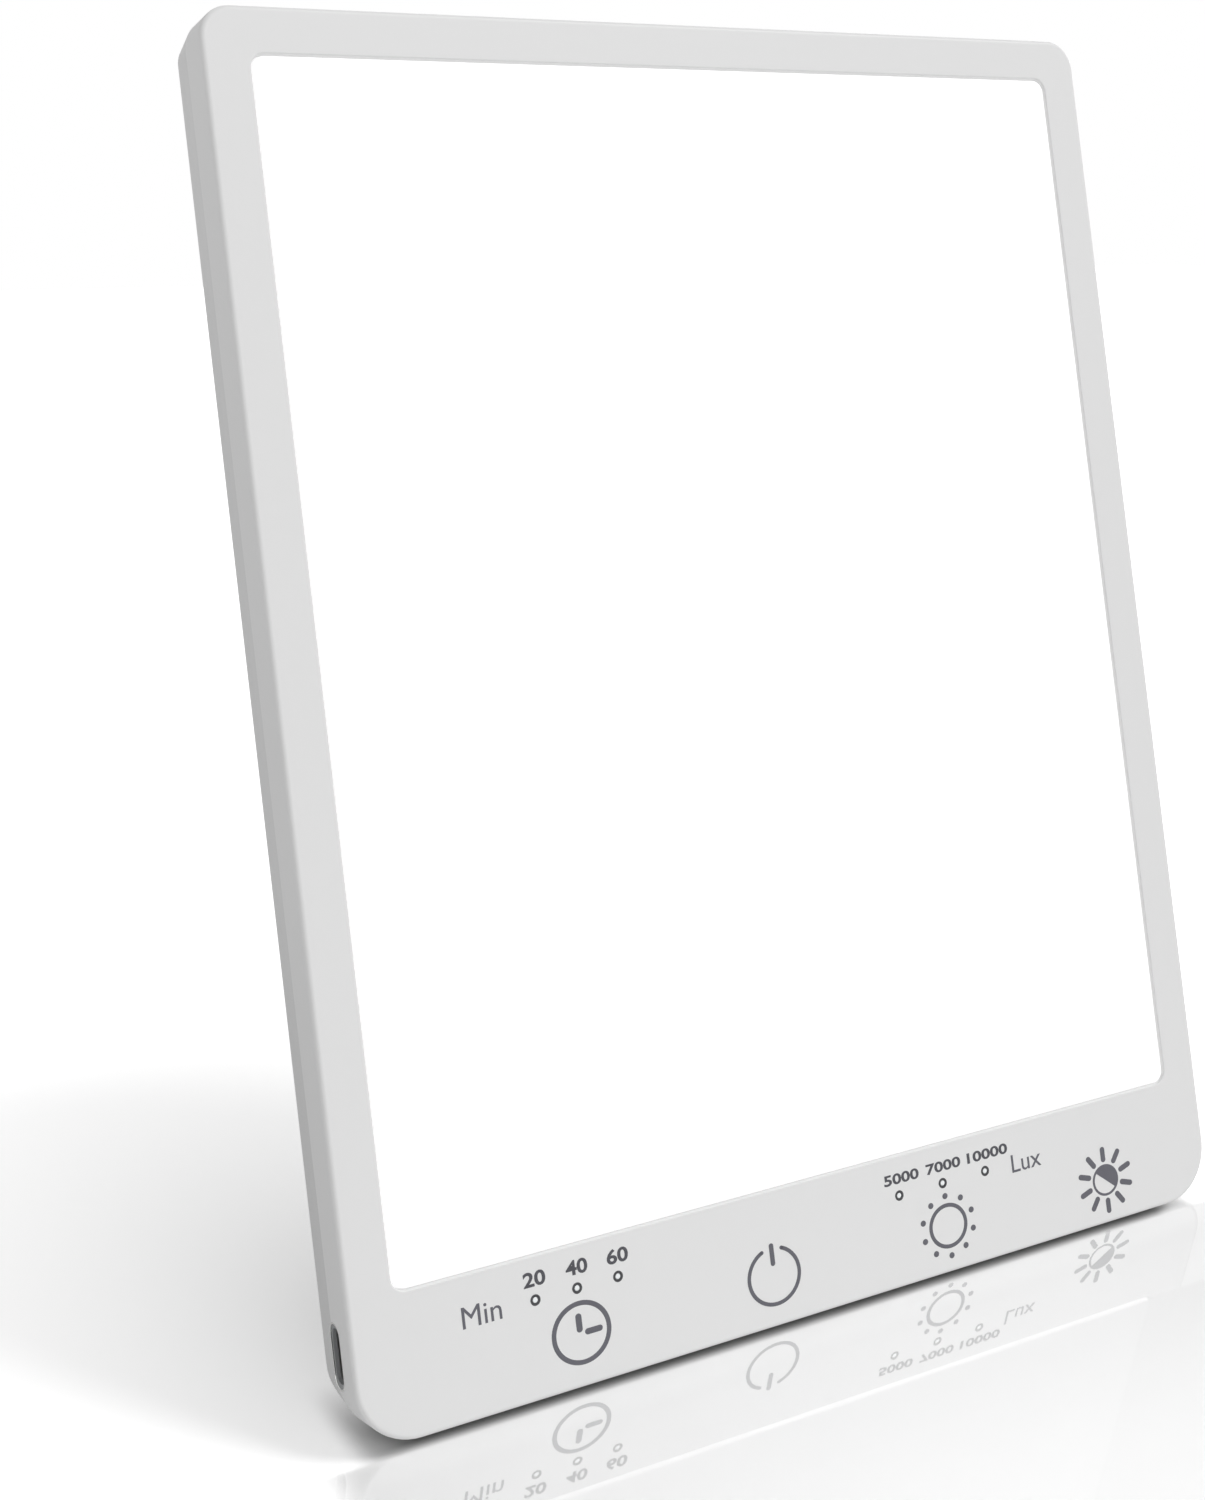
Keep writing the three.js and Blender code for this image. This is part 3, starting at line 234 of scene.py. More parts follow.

# Floor: its soft shade to the left of the lamp, partly real shadow and partly painted by a camera-only glow that
# grows with distance, and the painted glow and contact shadow under and in front of it.
# A span is where a value changes, in metres, and a pair of levels is what it changes from and to.
FLOOR_SIZE = 8.0
FLOOR_WHITE = 0.93
FADE = (1.0, 0.0)
SHADE_CENTRE = (-0.066, 0.001)
SHADE_STRETCH = (1.24, 0.74)
SHADE_REACH = 0.17
SHADE_CORE = 0.1
SHADE_CURVE = 0.364
GLOW_FAR = 0.65
FRONT_EDGE_BACK = 0.0019
FRONT_SPAN = (-0.0005, 0.0005)
FRONT_SIDE_SPAN = (0.090, 0.100)
FRONT_GLOWS = (
    ((0.015, 0.07), (0.02, 0.15)),
    ((0.0, 0.009), (0.13, 0.0)),
    ((0.06, 0.16), (0.0, 0.3)))
UNDER_SIDE_SPAN = (0.0860, 0.0915)
UNDER_DEPTH_SPAN = (-0.022, -0.006)
# Painted contact shadow: the floor is mixed toward black in a thin band under the front edge
PAINTED_CONTACT_SHADOW = (0.78, 0.0)
PAINTED_CONTACT_SHADOW_SPAN = (-0.0028, 0.0)
CONTACT_SIDE_SPAN = (0.078, 0.0895)
CONTACT_DEPTH_SPAN = (-0.026, -0.020)

# Clear film in front of the lamp, whose mirror ends where the window's image would begin
FILM_SIZE = 2.0
FILM_ROUGHNESS = 0.03
MIRROR_START = (0.001, 0.004)
MIRROR_END = (0.0236, 0.0256)
MIRROR_SHARE = (0.41, 0.03)

# Light
WORLD_LEVEL = 0.42
KEY_FROM = Vector((0.53, -0.46, 0.72))
KEY_SPREAD = math.radians(20)
KEY_LEVEL = 0.44
FILL_FROM = Vector((-0.3, -0.95, 0.15))
FILL_SPREAD = math.radians(60)
FILL_LEVEL = 0.12


# Leaning frames: the panel's own, and the open kickstand's

def box_in(place, *names):
    """Lowest and highest corners of CAD nodes, measured in a leaning frame."""
    back = place.inverted()
    points = [back @ v.co for name in names for v in frame["nodes"][name].data.vertices]
    low = Vector([min(point[axis] for point in points) for axis in (X, Y, Z)])
    high = Vector([max(point[axis] for point in points) for axis in (X, Y, Z)])
    return low, high


upright = Matrix.Rotation(-LEAN, 4, "X")
face_low, _ = box_in(upright, "front_bezel")
PANEL = upright @ Matrix.Translation((0, face_low.y, face_low.z))

hinge = next(joint for joint in frame["joints"] if joint["name"] == "kickstand_fold")
STAND_OPEN = -math.radians(hinge["range_deg"][0])
STAND = Matrix.Translation(hinge["pos_m"]) @ Matrix.Rotation(STAND_OPEN - LEAN, 4, "X")
AXIS = PANEL.inverted() @ Vector(hinge["pos_m"])

case_low, case_high = box_in(PANEL, "front_bezel", "rear_cover")
WIDTH = case_high.x - case_low.x
DEPTH = case_high.y
HEIGHT = case_high.z


def centre_of(node):
    """The middle of a CAD node, in the panel's frame."""
    low, high = box_in(PANEL, node)
    return (low + high) / 2


SCREW_PLACES = [centre_of(f"case_screw_{n}") for n in range(1, 5)]
TIMER_STUDS = [centre_of(f"timer_led_{minutes}") for minutes in (20, 40, 60)]
LUX_STUDS = [centre_of(f"lux_led_{lux}") for lux in (5000, 7000, 10000)]


# Modelling helpers

def activate(piece):
    """Makes one piece the only selected and active one."""
    bpy.ops.object.select_all(action="DESELECT")
    piece.select_set(True)
    bpy.context.view_layer.objects.active = piece


def add(name, form, **settings):
    """A new piece from one of Blender's own forms, with its place in its mesh."""
    bpy.ops.object.select_all(action="DESELECT")
    form(**settings)
    bpy.ops.object.transform_apply(location=True, rotation=True, scale=True)
    piece = bpy.context.object
    piece.name = name
    return piece


def block(name, low, high):
    """A block between two corners, ready to be shaped."""
    low, high = Vector(low), Vector(high)
    return add(name, bpy.ops.mesh.primitive_cube_add, size=1, location=(low + high) / 2, scale=high - low)


def rod(name, radius, axis, centre, span, sides=48):
    """A round bar along one axis, between two places on it."""
    turn = {X: (0, math.pi / 2, 0), Y: (math.pi / 2, 0, 0), Z: (0, 0, 0)}[axis]
    middle = Vector(centre)
    middle[axis] = sum(span) / 2
    return add(
        name, bpy.ops.mesh.primitive_cylinder_add,
        vertices=sides, radius=radius, depth=abs(span[1] - span[0]), location=middle, rotation=turn)


def middle_of(part):
    """The middle of an edge or a face."""
    return sum((v.co for v in part.verts), Vector()) / len(part.verts)


def runs_along(edge, axis):
    """Whether an edge is parallel to an axis."""
    direction = edge.verts[1].co - edge.verts[0].co
    return abs(direction.normalized()[axis]) > PARALLEL


def lies_at(part, axis, place):
    """Whether every corner of an edge or a face lies at one place along an axis."""
    return all(abs(v.co[axis] - place) < SAME_PLACE for v in part.verts)


def at(axis, *places):
    """The test whether an edge or a face lies at one of some places along an axis."""
    return lambda part: any(lies_at(part, axis, place) for place in places)


@contextmanager
def editing(piece, kind, test=lambda part: True):
    """Edit mode on one piece, with the points, edges or faces selected that pass a test."""
    activate(piece)
    bpy.ops.object.mode_set(mode="EDIT")
    bpy.ops.mesh.select_mode(type=kind)
    bpy.ops.mesh.select_all(action="DESELECT")
    mesh = bmesh.from_edit_mesh(piece.data)
    for part in {"VERT": mesh.verts, "EDGE": mesh.edges, "FACE": mesh.faces}[kind]:
        if test(part):
            part.select_set(True)
    bmesh.update_edit_mesh(piece.data)
    yield
    bpy.ops.object.mode_set(mode="OBJECT")


def round_edges(piece, radius, steps, test):
    """Rounds the edges that pass a test."""
    with editing(piece, "EDGE", test):
        bpy.ops.mesh.bevel(offset=radius, segments=steps, affect="EDGES", clamp_overlap=False)


def modify(piece, kind, **settings):
    """Adds a modifier with its settings to a piece, and applies it."""
    activate(piece)
    bpy.ops.object.modifier_add(type=kind)
    step = piece.modifiers[-1]
    for label, value in settings.items():
        setattr(step, label, value)
    bpy.ops.object.modifier_apply(modifier=step.name)
    return piece


def soften(piece, width, steps=2):
    """Breaks every sharp edge of a piece."""
    return modify(
        piece, "BEVEL", width=width, segments=steps, limit_method="ANGLE", angle_limit=SHARP_ANGLE)


def combine(piece, operation, tools):
    """Joins or cuts a piece with other solids, which are used up."""
    for tool in tools:
        modify(piece, "BOOLEAN", operation=operation, solver="EXACT", object=tool)
        bpy.data.objects.remove(tool)
    return piece


def cut(piece, *tools):
    """Cuts other solids out of a piece."""
    return combine(piece, "DIFFERENCE", tools)


def join(piece, *tools):
    """Makes a piece and other solids one solid."""
    return combine(piece, "UNION", tools)


def cut_flat(piece, point, away):
    """Cuts a piece off flat at a point, on the side that a direction leads to."""
    with editing(piece, "FACE"):
        bpy.ops.mesh.bisect(plane_co=point, plane_no=away, use_fill=True, clear_outer=True)


def merge(name, pieces):
    """Several pieces as one object with separate shells."""
    activate(pieces[0])
    for piece in pieces:
        piece.select_set(True)
    bpy.ops.object.join()
    pieces[0].name = name
    return pieces[0]


def rounded_block(name, low, high, bottom_radius, top_radius=None, axis=Y, steps=CORNER_STEPS):
    """A block whose corners are round as seen along an axis."""
    piece = block(name, low, high)
    middle = (low[Z] + high[Z]) / 2
    for side, radius in ((-1, bottom_radius), (1, top_radius or bottom_radius)):
        round_edges(
            piece, radius, steps, lambda e: runs_along(e, axis) and side * (middle_of(e).z - middle) > 0)
    return piece


def copy_of(piece, name, shift):
    """A copy with a mesh of its own, moved by a shift."""
    twin = piece.copy()
    twin.data = piece.data.copy()
    twin.name = name
    bpy.context.collection.objects.link(twin)
    twin.data.transform(Matrix.Translation(shift))
    return twin


def dress(piece, slot, nodes=(), place=PANEL, body="panel", smooth_degrees=SMOOTH, finish=None):
    """Puts a finished mesh in its place, smooths it, hangs it on its body, hides the CAD nodes it takes the place
    of, and gives it its finish.
    """
    with editing(piece, "FACE"):
        bpy.ops.mesh.remove_doubles(threshold=WELD)
        bpy.ops.mesh.normals_make_consistent(inside=False)
    bpy.ops.object.shade_smooth_by_angle(angle=math.radians(smooth_degrees))
    modify(piece, "WEIGHTED_NORMAL", keep_sharp=True)
    piece.data.transform(place)
    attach(piece, body)
    if nodes:
        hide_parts(*nodes)
    piece.data.materials.clear()
    piece.data.materials.append(finish or finishes[slot])


# Shader helpers

class Signal:
    """A node's output, with the arithmetic that a finish needs."""

    def __init__(self, nodes, socket):
        self.math = nodes.math
        self.socket = socket

    def __add__(self, other):
        return self.math("ADD", self, other)

    def __sub__(self, other):
        return self.math("SUBTRACT", self, other)

    def __rsub__(self, other):
        return self.math("SUBTRACT", other, self)

    def __mul__(self, other):
        return self.math("MULTIPLY", self, other)

    __radd__ = __add__
    __rmul__ = __mul__


class Nodes:
    """The node tree of a material or the world."""

    def __init__(self, owner):
        owner.use_nodes = True
        self.tree = owner.node_tree

    def node(self, kind, inputs, output=0, **settings):
        """Any node: its type, the values or links of its inputs, the output to use, and its settings."""
        node = self.tree.nodes.new(kind)
        for label, value in settings.items():
            setattr(node, label, value)
        for label, value in inputs.items():
            if isinstance(value, Signal):
                self.tree.links.new(value.socket, node.inputs[label])
            else:
                node.inputs[label].default_value = value
        return Signal(self, node.outputs[output])

    def math(self, operation, *values):
        """One step of arithmetic on signals and numbers."""
        return self.node("ShaderNodeMath", dict(enumerate(values)), operation=operation)

    def ramp(self, value, span, result=(0.0, 1.0)):
        """A smooth step from one value to another over a span."""
        return self.node("ShaderNodeMapRange", {
            "Value": value, "From Min": span[0], "From Max": span[1],
            "To Min": result[0], "To Max": result[1]}, "Result", interpolation_type="SMOOTHSTEP")

    def ray(self, kind):
        """Whether a ray of one kind sees the surface."""
        return self.node("ShaderNodeLightPath", {}, f"Is {kind} Ray")


class Finish(Nodes):
    """A material with one principled surface, whose constants are set on its own sockets."""

    def __init__(self, name, **constants):
        self.material = bpy.data.materials.new(name)
        super().__init__(self.material)
        self.surface = self.tree.nodes["Principled BSDF"]
        self.place = self.node("ShaderNodeTexCoord", {}, "Object")
        for label, value in constants.items():
            self.surface.inputs[label.replace("_", " ")].default_value = value

    def along(self, axis):
        """The place on the surface along one axis."""
        return self.node("ShaderNodeSeparateXYZ", {"Vector": self.place}, axis)

    def noise(self, per_metre, detail=2.0, roughness=0.5, place=None):
        """Cloudy noise, with so many cells to the metre."""
        return self.node("ShaderNodeTexNoise", {
            "Vector": place or self.place, "Scale": per_metre, "Detail": detail, "Roughness": roughness})

    def blend(self, amount, first, second):
        """One colour into another."""
        return self.node("ShaderNodeMix", {0: amount, 6: (*first, 1), 7: (*second, 1)}, 2, data_type="RGBA")

    def tint(self, amount, slot, *factors):
        """Colours the surface between two brightnesses of a slot's colour."""
        first, second = [tuple(min(1.0, channel * factor) for channel in colours[slot]) for factor in factors]
        self.feed("Base Color", self.blend(amount, first, second))

    def feed(self, label, signal):
        """Links a signal to a socket of the surface."""
        self.tree.links.new(signal.socket, self.surface.inputs[label])

    def grain(self, height, depth, strength=1.0):
        """Relief from a height signal, with its depth in metres."""
        self.feed("Normal", self.node("ShaderNodeBump", {
            "Height": height, "Distance": depth, "Strength": strength}))

    def end_with(self, first, second, share):
        """Makes a mix of two shaders the whole surface, in place of the principled one."""
        mix = self.node("ShaderNodeMixShader", {0: share, 1: first, 2: second})
        self.tree.nodes.remove(self.surface)
        self.tree.links.new(mix.socket, self.tree.nodes["Material Output"].inputs["Surface"])


# Finishes, one for each of the record's material slots

colours = {m["slot"]: tuple(m["base_color"][:3]) for m in frame["record"]["materials"]}


def satin_case(name, tone):
    """Moulded plastic with a fine spark-eroded grain, in a tone of the case colour."""
    finish = Finish(name, IOR=1.49)
    cloud = finish.noise(14, 3)
    speck = finish.noise(2600, 2, 0.6)
    finish.tint(cloud, "case", 0.99 * tone, 1.01 * tone)
    finish.feed("Roughness", speck * 0.10 + cloud * 0.05 + 0.42)
    finish.grain(speck + finish.noise(7000, 1) * 0.5, 0.012 * MM, 0.5)
    return finish.material


def opal_window():
    """Opal sheet, lit evenly from behind."""
    finish = Finish("opal_window", IOR=1.49, Emission_Strength=0.4)
    cloud = finish.noise(40, 2)
    finish.feed("Base Color", finish.blend(cloud, (0.79, 0.79, 0.79), (0.81, 0.81, 0.81)))
    finish.feed("Emission Color", finish.blend(cloud, (0.99, 0.99, 0.99), (1.0, 1.0, 1.0)))
    finish.feed("Roughness", finish.noise(900) * 0.08 + 0.36)
    finish.grain(finish.noise(4000), 0.006 * MM, 0.4)
    return finish.material


def grained(name, slot, per_metre, depth, rough, spread=0.06, contrast=0.06, tone=1.0, **constants):
    """A plain finish with cloudy colour, uneven gloss and a fine grain, in a tone of its slot's colour."""
    finish = Finish(name, **constants)
    cloud = finish.noise(per_metre / 12, 3)
    speck = finish.noise(per_metre, 2, 0.6)
    finish.tint(cloud, slot, tone * (1 - contrast), tone * (1 + contrast))
    finish.feed("Roughness", speck * spread + cloud * spread + (rough - spread))
    finish.grain(speck, depth, 0.6)
    return finish.material


def brushed(name, slot, rough, across=(1.0, 1.0, 0.05), tone=1.0):
    """Metal with fine lines along one direction, in a tone of its slot's colour."""
    finish = Finish(name, Metallic=1.0)
    stretched = finish.node("ShaderNodeMapping", {"Vector": finish.place, "Scale": across})
    lines = finish.noise(9000, place=stretched)
    cloud = finish.noise(60, 3)
    finish.tint(cloud, slot, 0.92 * tone, 1.05 * tone)
    finish.feed("Roughness", lines * 0.14 + cloud * 0.08 + (rough - 0.1))
    finish.grain(lines, 0.004 * MM, 0.5)
    return finish.material


def circuit_board():
    """Solder mask over etched tracks."""
    finish = Finish("circuit_board", IOR=1.5)
    tracks = finish.node("ShaderNodeTexVoronoi", {
        "Vector": finish.place, "Scale": 420.0}, "Distance", distance="CHEBYCHEV", feature="F1")
    edge = finish.node("ShaderNodeMapRange", {
        "Value": tracks, "From Min": 0.30, "From Max": 0.36}, "Result")
    finish.tint(edge, "circuit_board", 1.25, 0.85)
    finish.feed("Roughness", finish.noise(800) * 0.15 + 0.35)
    finish.grain(edge, 0.03 * MM, 0.6)
    return finish.material


finishes = {
    "case": satin_case("satin_front", 1.0),
    "diffuser": opal_window(),
    "clear_acrylic": grained(
        "frosted_acrylic", "clear_acrylic", 1500, 0.004 * MM, 0.3, contrast=0.02, IOR=1.49),
    "reflector_film": grained("reflector_film", "reflector_film", 2500, 0.004 * MM, 0.35, contrast=0.02),
    "aluminium": brushed("mill_aluminium", "aluminium", 0.4),
    "steel": brushed("zinc_plated_steel", "steel", 0.35, (1.0, 0.06, 1.0)),
    "socket_metal": brushed("tin_plate", "socket_metal", 0.32, (0.06, 1.0, 1.0)),
    "circuit_board": circuit_board(),
    "black_resin": grained("black_resin", "black_resin", 3000, 0.02 * MM, 0.5),
    "led_tape": grained("led_tape", "led_tape", 1800, 0.01 * MM, 0.45, contrast=0.04),
    "rubber": grained("grey_rubber", "rubber", 1600, 0.04 * MM, 0.82),
    "cable_sheath": grained("cable_sheath", "cable_sheath", 2000, 0.01 * MM, 0.55),
    "ink": grained("screen_ink", "ink", 3000, 0.004 * MM, 0.6),
}
# A darker copy of the case finish: painted shade for the back cover and the kickstand
painted_shade_back_finish = satin_case("satin_back_painted_shade", SHADED_BACK_TONE)
gasket_finish = grained("socket_gasket", "rubber", 1600, 0.02 * MM, 0.5, tone=0.7)
# The socket's metal liner is darkened to paint the shade inside the socket
painted_shade_liner_finish = brushed("socket_liner_painted_shade", "socket_metal", 0.4, (0.06, 1.0, 1.0), tone=0.3)
# Shiny socket metal lightened beyond its own colour: a painted highlight on the ring at the socket's mouth
trim_finish_painted_highlight = brushed("socket_trim_painted_highlight", "socket_metal", 0.16, tone=1.35)
numeral_finish = grained("numeral_ink", "ink", 3000, 0.004 * MM, 0.6, tone=0.6)

# Inner pieces that keep their own solid

for entry in frame["record"]["subparts"]:
    materials = frame["nodes"][entry["node"]].data.materials
    materials.clear()
    materials.append(finishes[entry["material_slot"]])


# Camera

camera_data = bpy.data.cameras.new("photo_camera")
camera_data.sensor_fit = "VERTICAL"
camera_data.sensor_height = SENSOR_HEIGHT_MM
camera_data.lens = CAMERA_LENS_MM
camera_data.shift_x, camera_data.shift_y = CAMERA_SHIFT
camera_data.clip_start = CAMERA_NEAR
camera = bpy.data.objects.new("photo_camera", camera_data)
camera.location = CAMERA_PLACE
camera.rotation_euler = (math.pi / 2 - CAMERA_PITCH_DOWN, 0, CAMERA_HEADING)
bpy.context.collection.objects.link(camera)
bpy.context.scene.camera = camera


# Case halves

def socket_cutter():
    """A bar through the left side with an oval section, which flares where it meets the outside."""
    centre = centre_of("usb_socket_shell")
    radius = SOCKET_WIDTH / 2
    mouth = -WIDTH / 2 + SOCKET_RIM
    half_sizes = (0, radius, SOCKET_LENGTH / 2)
    bar = rounded_block(
        "socket", (mouth, centre.y - radius, centre.z - half_sizes[Z]),
        (-WIDTH / 2 + SIDE_WALL + OVERRUN, centre.y + radius, centre.z + half_sizes[Z]),
        radius * FULL_ROUND, axis=X, steps=SOCKET_STEPS)
    grow_mouth(bar, X, -1, (mouth, centre.y, centre.z), half_sizes, SOCKET_RIM)
    return bar


def grow_mouth(cutter, axis, way, centre, half_sizes, rim):
    """Extrudes a cutter's end face one way along an axis, widening along a quarter round."""
    outward = Vector()
    outward[axis] = way
    passed, widened = 0.0, 0.0
    with editing(cutter, "FACE", at(axis, centre[axis])):
        for step in range(1, MOUTH_STEPS + 1):
            angle = math.pi / 2 * step / MOUTH_STEPS
            depth, growth = rim * math.sin(angle), rim * (1 - math.cos(angle))
            bpy.ops.mesh.extrude_region_move(TRANSFORM_OT_translate={"value": outward * (depth - passed)})
            scale = [(half + growth) / (half + widened) if half else 1 for half in half_sizes]
            bpy.ops.transform.resize(value=scale, center_override=centre)
            passed, widened = depth, growth
        bpy.ops.mesh.extrude_region_move(TRANSFORM_OT_translate={"value": outward * OVERRUN})


def hole_cutter(name, radius, centre, inner, outer, rim):
    """A round cutter along y from its inner to its outer end, where it flares by a rim."""
    cutter = rod(name, radius, Y, centre, (inner, outer), sides=32)
    way = 1 if outer > inner else -1
    grow_mouth(cutter, Y, way, (centre.x, outer, centre.z), (radius, 0, radius), rim)
    return cutter


def screw_rods(name, radius, span, sides=24):
    """A rod at each of the case screws."""
    return [rod(name, radius, Y, place, span, sides) for place in SCREW_PLACES]


def bezel():
    """The front half: a rounded frame round the window, with the control strip below it."""
    half = WIDTH / 2
    piece = rounded_block(
        "bezel", (-half, 0, 0), (half, PARTING, HEIGHT), BOTTOM_RADIUS, TOP_RADIUS)
    round_edges(piece, FRONT_ROUND, ROUND_STEPS, at(Y, 0))
    cavity = rounded_block(
        "cavity", (-half + SIDE_WALL, FACE_WALL, SIDE_WALL),
        (half - SIDE_WALL, PARTING + OVERRUN, HEIGHT - SIDE_WALL),
        BOTTOM_RADIUS - SIDE_WALL, TOP_RADIUS - SIDE_WALL)
    low, high = window_corners()
    window = rounded_block(
        "window", (low.x, WINDOW_RIM, low.z), (high.x, FACE_WALL + OVERRUN, high.z),
        WINDOW_RADIUS, steps=WINDOW_STEPS)
    centre = (low + high) / 2
    half_sizes = ((high.x - low.x) / 2, 0, (high.z - low.z) / 2)
    grow_mouth(window, Y, -1, (centre.x, WINDOW_RIM, centre.z), half_sizes, WINDOW_RIM)
    socket = socket_cutter()
    studs = [
        hole_cutter("stud_hole", STUD_HOLE_RADIUS, place, FACE_WALL + OVERRUN, STUD_HOLE_RIM, STUD_HOLE_RIM)
        for place in TIMER_STUDS + LUX_STUDS]
    posts = screw_rods("post", POST_RADIUS, (FACE_WALL / 2, POST_REAR))
    bores = screw_rods("bore", BORE_RADIUS, (BORE_FRONT, POST_REAR + OVERRUN))
    cut(piece, cavity)
    join(piece, *posts)
    cut(piece, window, socket, *studs, *bores)
    dress(piece, "case", ["front_bezel"])


def window_corners():
    """The window's opening: the light sheet's raised face and the gap round it."""
    sheet = box_in(PANEL, "light_guide_plate")
    inset = Vector((SHEET_OVERLAP, 0, SHEET_OVERLAP))
    return sheet[0] + inset, sheet[1] - inset


def rear_block(name, inset, rear):
    """The tapered body behind the parting line, drawn in all round by an inset."""
    half = WIDTH / 2 - inset
    piece = rounded_block(
        name, (-half, PARTING, inset), (half, PARTING + SLIVER, HEIGHT - inset),
        BOTTOM_RADIUS - inset, TOP_RADIUS - inset)
    with editing(piece, "FACE", at(Y, PARTING + SLIVER)):
        bpy.ops.mesh.inset(thickness=REAR_TAPER, depth=DEPTH - PARTING - SLIVER)
    if rear < DEPTH:
        cut_flat(piece, (0, rear, 0), (0, 1, 0))
    return piece


def recess_tool(growth, extra):
    """The kickstand's recess, its deeper hinge pocket and the thumb notch beside it."""
    half = RECESS_HALF_WIDTH + growth
    floor = DEPTH - RECESS_DEPTH - growth
    rear = DEPTH + extra
    pocket_bottom = POCKET_BOTTOM - growth
    deeper = (0, RECESS_DEPTH - POCKET_DEPTH, 0)
    tool = rounded_block(
        "recess", (-half, floor, -OVERRUN), (half, rear, RECESS_TOP + growth),
        SLIVER, RECESS_RADIUS, steps=RECESS_STEPS)
    with editing(tool, "FACE"):
        bpy.ops.mesh.bisect(plane_co=(0, 0, pocket_bottom), plane_no=(0, 0, 1))
    with editing(tool, "FACE", lambda face: lies_at(face, Y, floor) and middle_of(face).z > pocket_bottom):
        bpy.ops.mesh.extrude_region_move(TRANSFORM_OT_translate={"value": deeper})
    notch = rod(
        "notch", NOTCH_RADIUS + growth, Y, (half - growth, 0, NOTCH_HEIGHT),
        (floor + NOTCH_LIFT, rear + SLIVER), sides=64)
    return join(tool, notch)


def back_cover():
    """The rear half: tapered sides, the kickstand's recess, screw seats and foot pockets."""
    piece = rear_block("back_cover", 0, DEPTH)
    cut(piece, recess_tool(0, OVERRUN))
    round_edges(piece, RIM_ROUND, MOUTH_STEPS, in_recess_rim)
    round_edges(piece, REAR_ROUND, ROUND_STEPS, on_outer_rim)
    cavity = rear_block("cavity", SIDE_WALL, DEPTH - BACK_WALL)
    cavity.data.transform(Matrix.Translation((0, -SLIVER, 0)))
    walls = recess_tool(BACK_WALL, -BACK_WALL / 2)
    cut(cavity, combine(walls, "INTERSECT", [rear_block("limit", SLIVER, DEPTH)]))
    cut(cavity, *screw_rods("seat", POST_RADIUS, (SEAT_FRONT, DEPTH), 32))
    socket = socket_cutter()
    counterbores = [
        hole_cutter(
            "counterbore", COUNTERBORE_RADIUS, place, DEPTH - COUNTERBORE_DEPTH, DEPTH - COUNTERBORE_RIM,
            COUNTERBORE_RIM)
        for place in SCREW_PLACES]
    bores = screw_rods("bore", BORE_RADIUS, (POST_REAR, DEPTH))
    pockets = []
    for side in ("left", "right"):
        low, high = box_in(PANEL, f"bottom_foot_{side}")
        low.z = -OVERRUN
        high.z = FOOT_POCKET_HEIGHT
        pockets.append(block("foot_pocket", low - Vector((GAP, GAP, 0)), high + Vector((GAP, GAP, 0))))
    cut(piece, cavity, socket, *counterbores, *bores, *pockets)
    # Its darker finish paints the shade on the rear half
    dress(piece, "case", ["rear_cover"], finish=painted_shade_back_finish)


def on_outer_rim(edge):
    """Whether an edge borders the flat back on the case's own outline."""
    inset = REAR_TAPER + SLIVER
    point = middle_of(edge)
    side = abs(point.x) > WIDTH / 2 - inset - BOTTOM_RADIUS
    end = point.z < inset or point.z > HEIGHT - inset
    return lies_at(edge, Y, DEPTH) and (end or (side and not in_recess_rim(edge)))


def in_recess_rim(edge):
    """Whether an edge borders the flat back on the recess or its thumb notch."""
    point = middle_of(edge)
    inside = abs(point.x) < RECESS_HALF_WIDTH + NOTCH_RADIUS + SLIVER
    return inside and REAR_TAPER + SLIVER < point.z < RECESS_TOP + SLIVER and lies_at(edge, Y, DEPTH)


bezel()
back_cover()


# Light sheet

def light_window():
    """The opal sheet: a raised face in the window on a flange behind the frame."""
    low, high = box_in(PANEL, "diffuser_panel")
    window_low, window_high = window_corners()
    flange_front = FACE_WALL + GAP
    piece = rounded_block(
        "light_window", (window_low.x + GAP, low.y, window_low.z + GAP),
        (window_high.x - GAP, flange_front, window_high.z - GAP), WINDOW_RADIUS - GAP, steps=WINDOW_STEPS)
    round_edges(piece, SHEET_ROUND, 3, at(Y, low.y))
    flange = rounded_block(
        "flange", (low.x, flange_front - SLIVER / 2, low.z), high, WINDOW_RADIUS, steps=WINDOW_STEPS)
    join(piece, flange)
    dress(piece, "diffuser", ["diffuser_panel"])


light_window()


# Screws

def cross_recess(centre, top, reach):
    """Two crossed blades that narrow towards their tip, to be cut into a screw's head."""
    blades = []
    for long_axis, short_axis in ((X, Z), (Z, X)):
        half = Vector((0, reach, 0))
        half[long_axis] = reach
        half[short_axis] = reach * CROSS_WIDTH
        low, high = centre - half, centre + half
        low.y, high.y = top - CROSS_DEPTH * reach, top + OVERRUN
        blade = block("blade", low, high)
        with editing(blade, "FACE", at(Y, low.y)):
            bpy.ops.transform.resize(
                value=(CROSS_TIP, 1, CROSS_TIP), center_override=(centre.x, low.y, centre.z))
        blades.append(blade)
    return blades


def pan_screws(name, kind, head_height, thread_radius):
    """Four pan-head screws with a cross recess: one model, and a copy for each other place."""
    low, high = box_in(PANEL, f"{kind}_1")
    centre = (low + high) / 2
    seat = high.y - head_height
    head = rod(f"{name}_1", (high.x - low.x) / 2, Y, centre, (seat, high.y), sides=40)
    round_edges(head, HEAD_DOME * head_height, 5, at(Y, high.y))
    thread = rod("thread", thread_radius, Y, centre, (low.y, seat + head_height / 3), sides=24)
    round_edges(thread, thread_radius / 2, 2, at(Y, low.y))
    join(head, thread)
    cut(head, *cross_recess(centre, high.y, (high.x - low.x) / HEAD_TO_CROSS))
    copies = [copy_of(head, f"{name}_{n}", box_in(PANEL, f"{kind}_{n}")[0] - low) for n in (2, 3, 4)]
    for n, screw in enumerate([head, *copies], 1):
        dress(screw, "steel", [f"{kind}_{n}"], smooth_degrees=SCREW_SMOOTH)


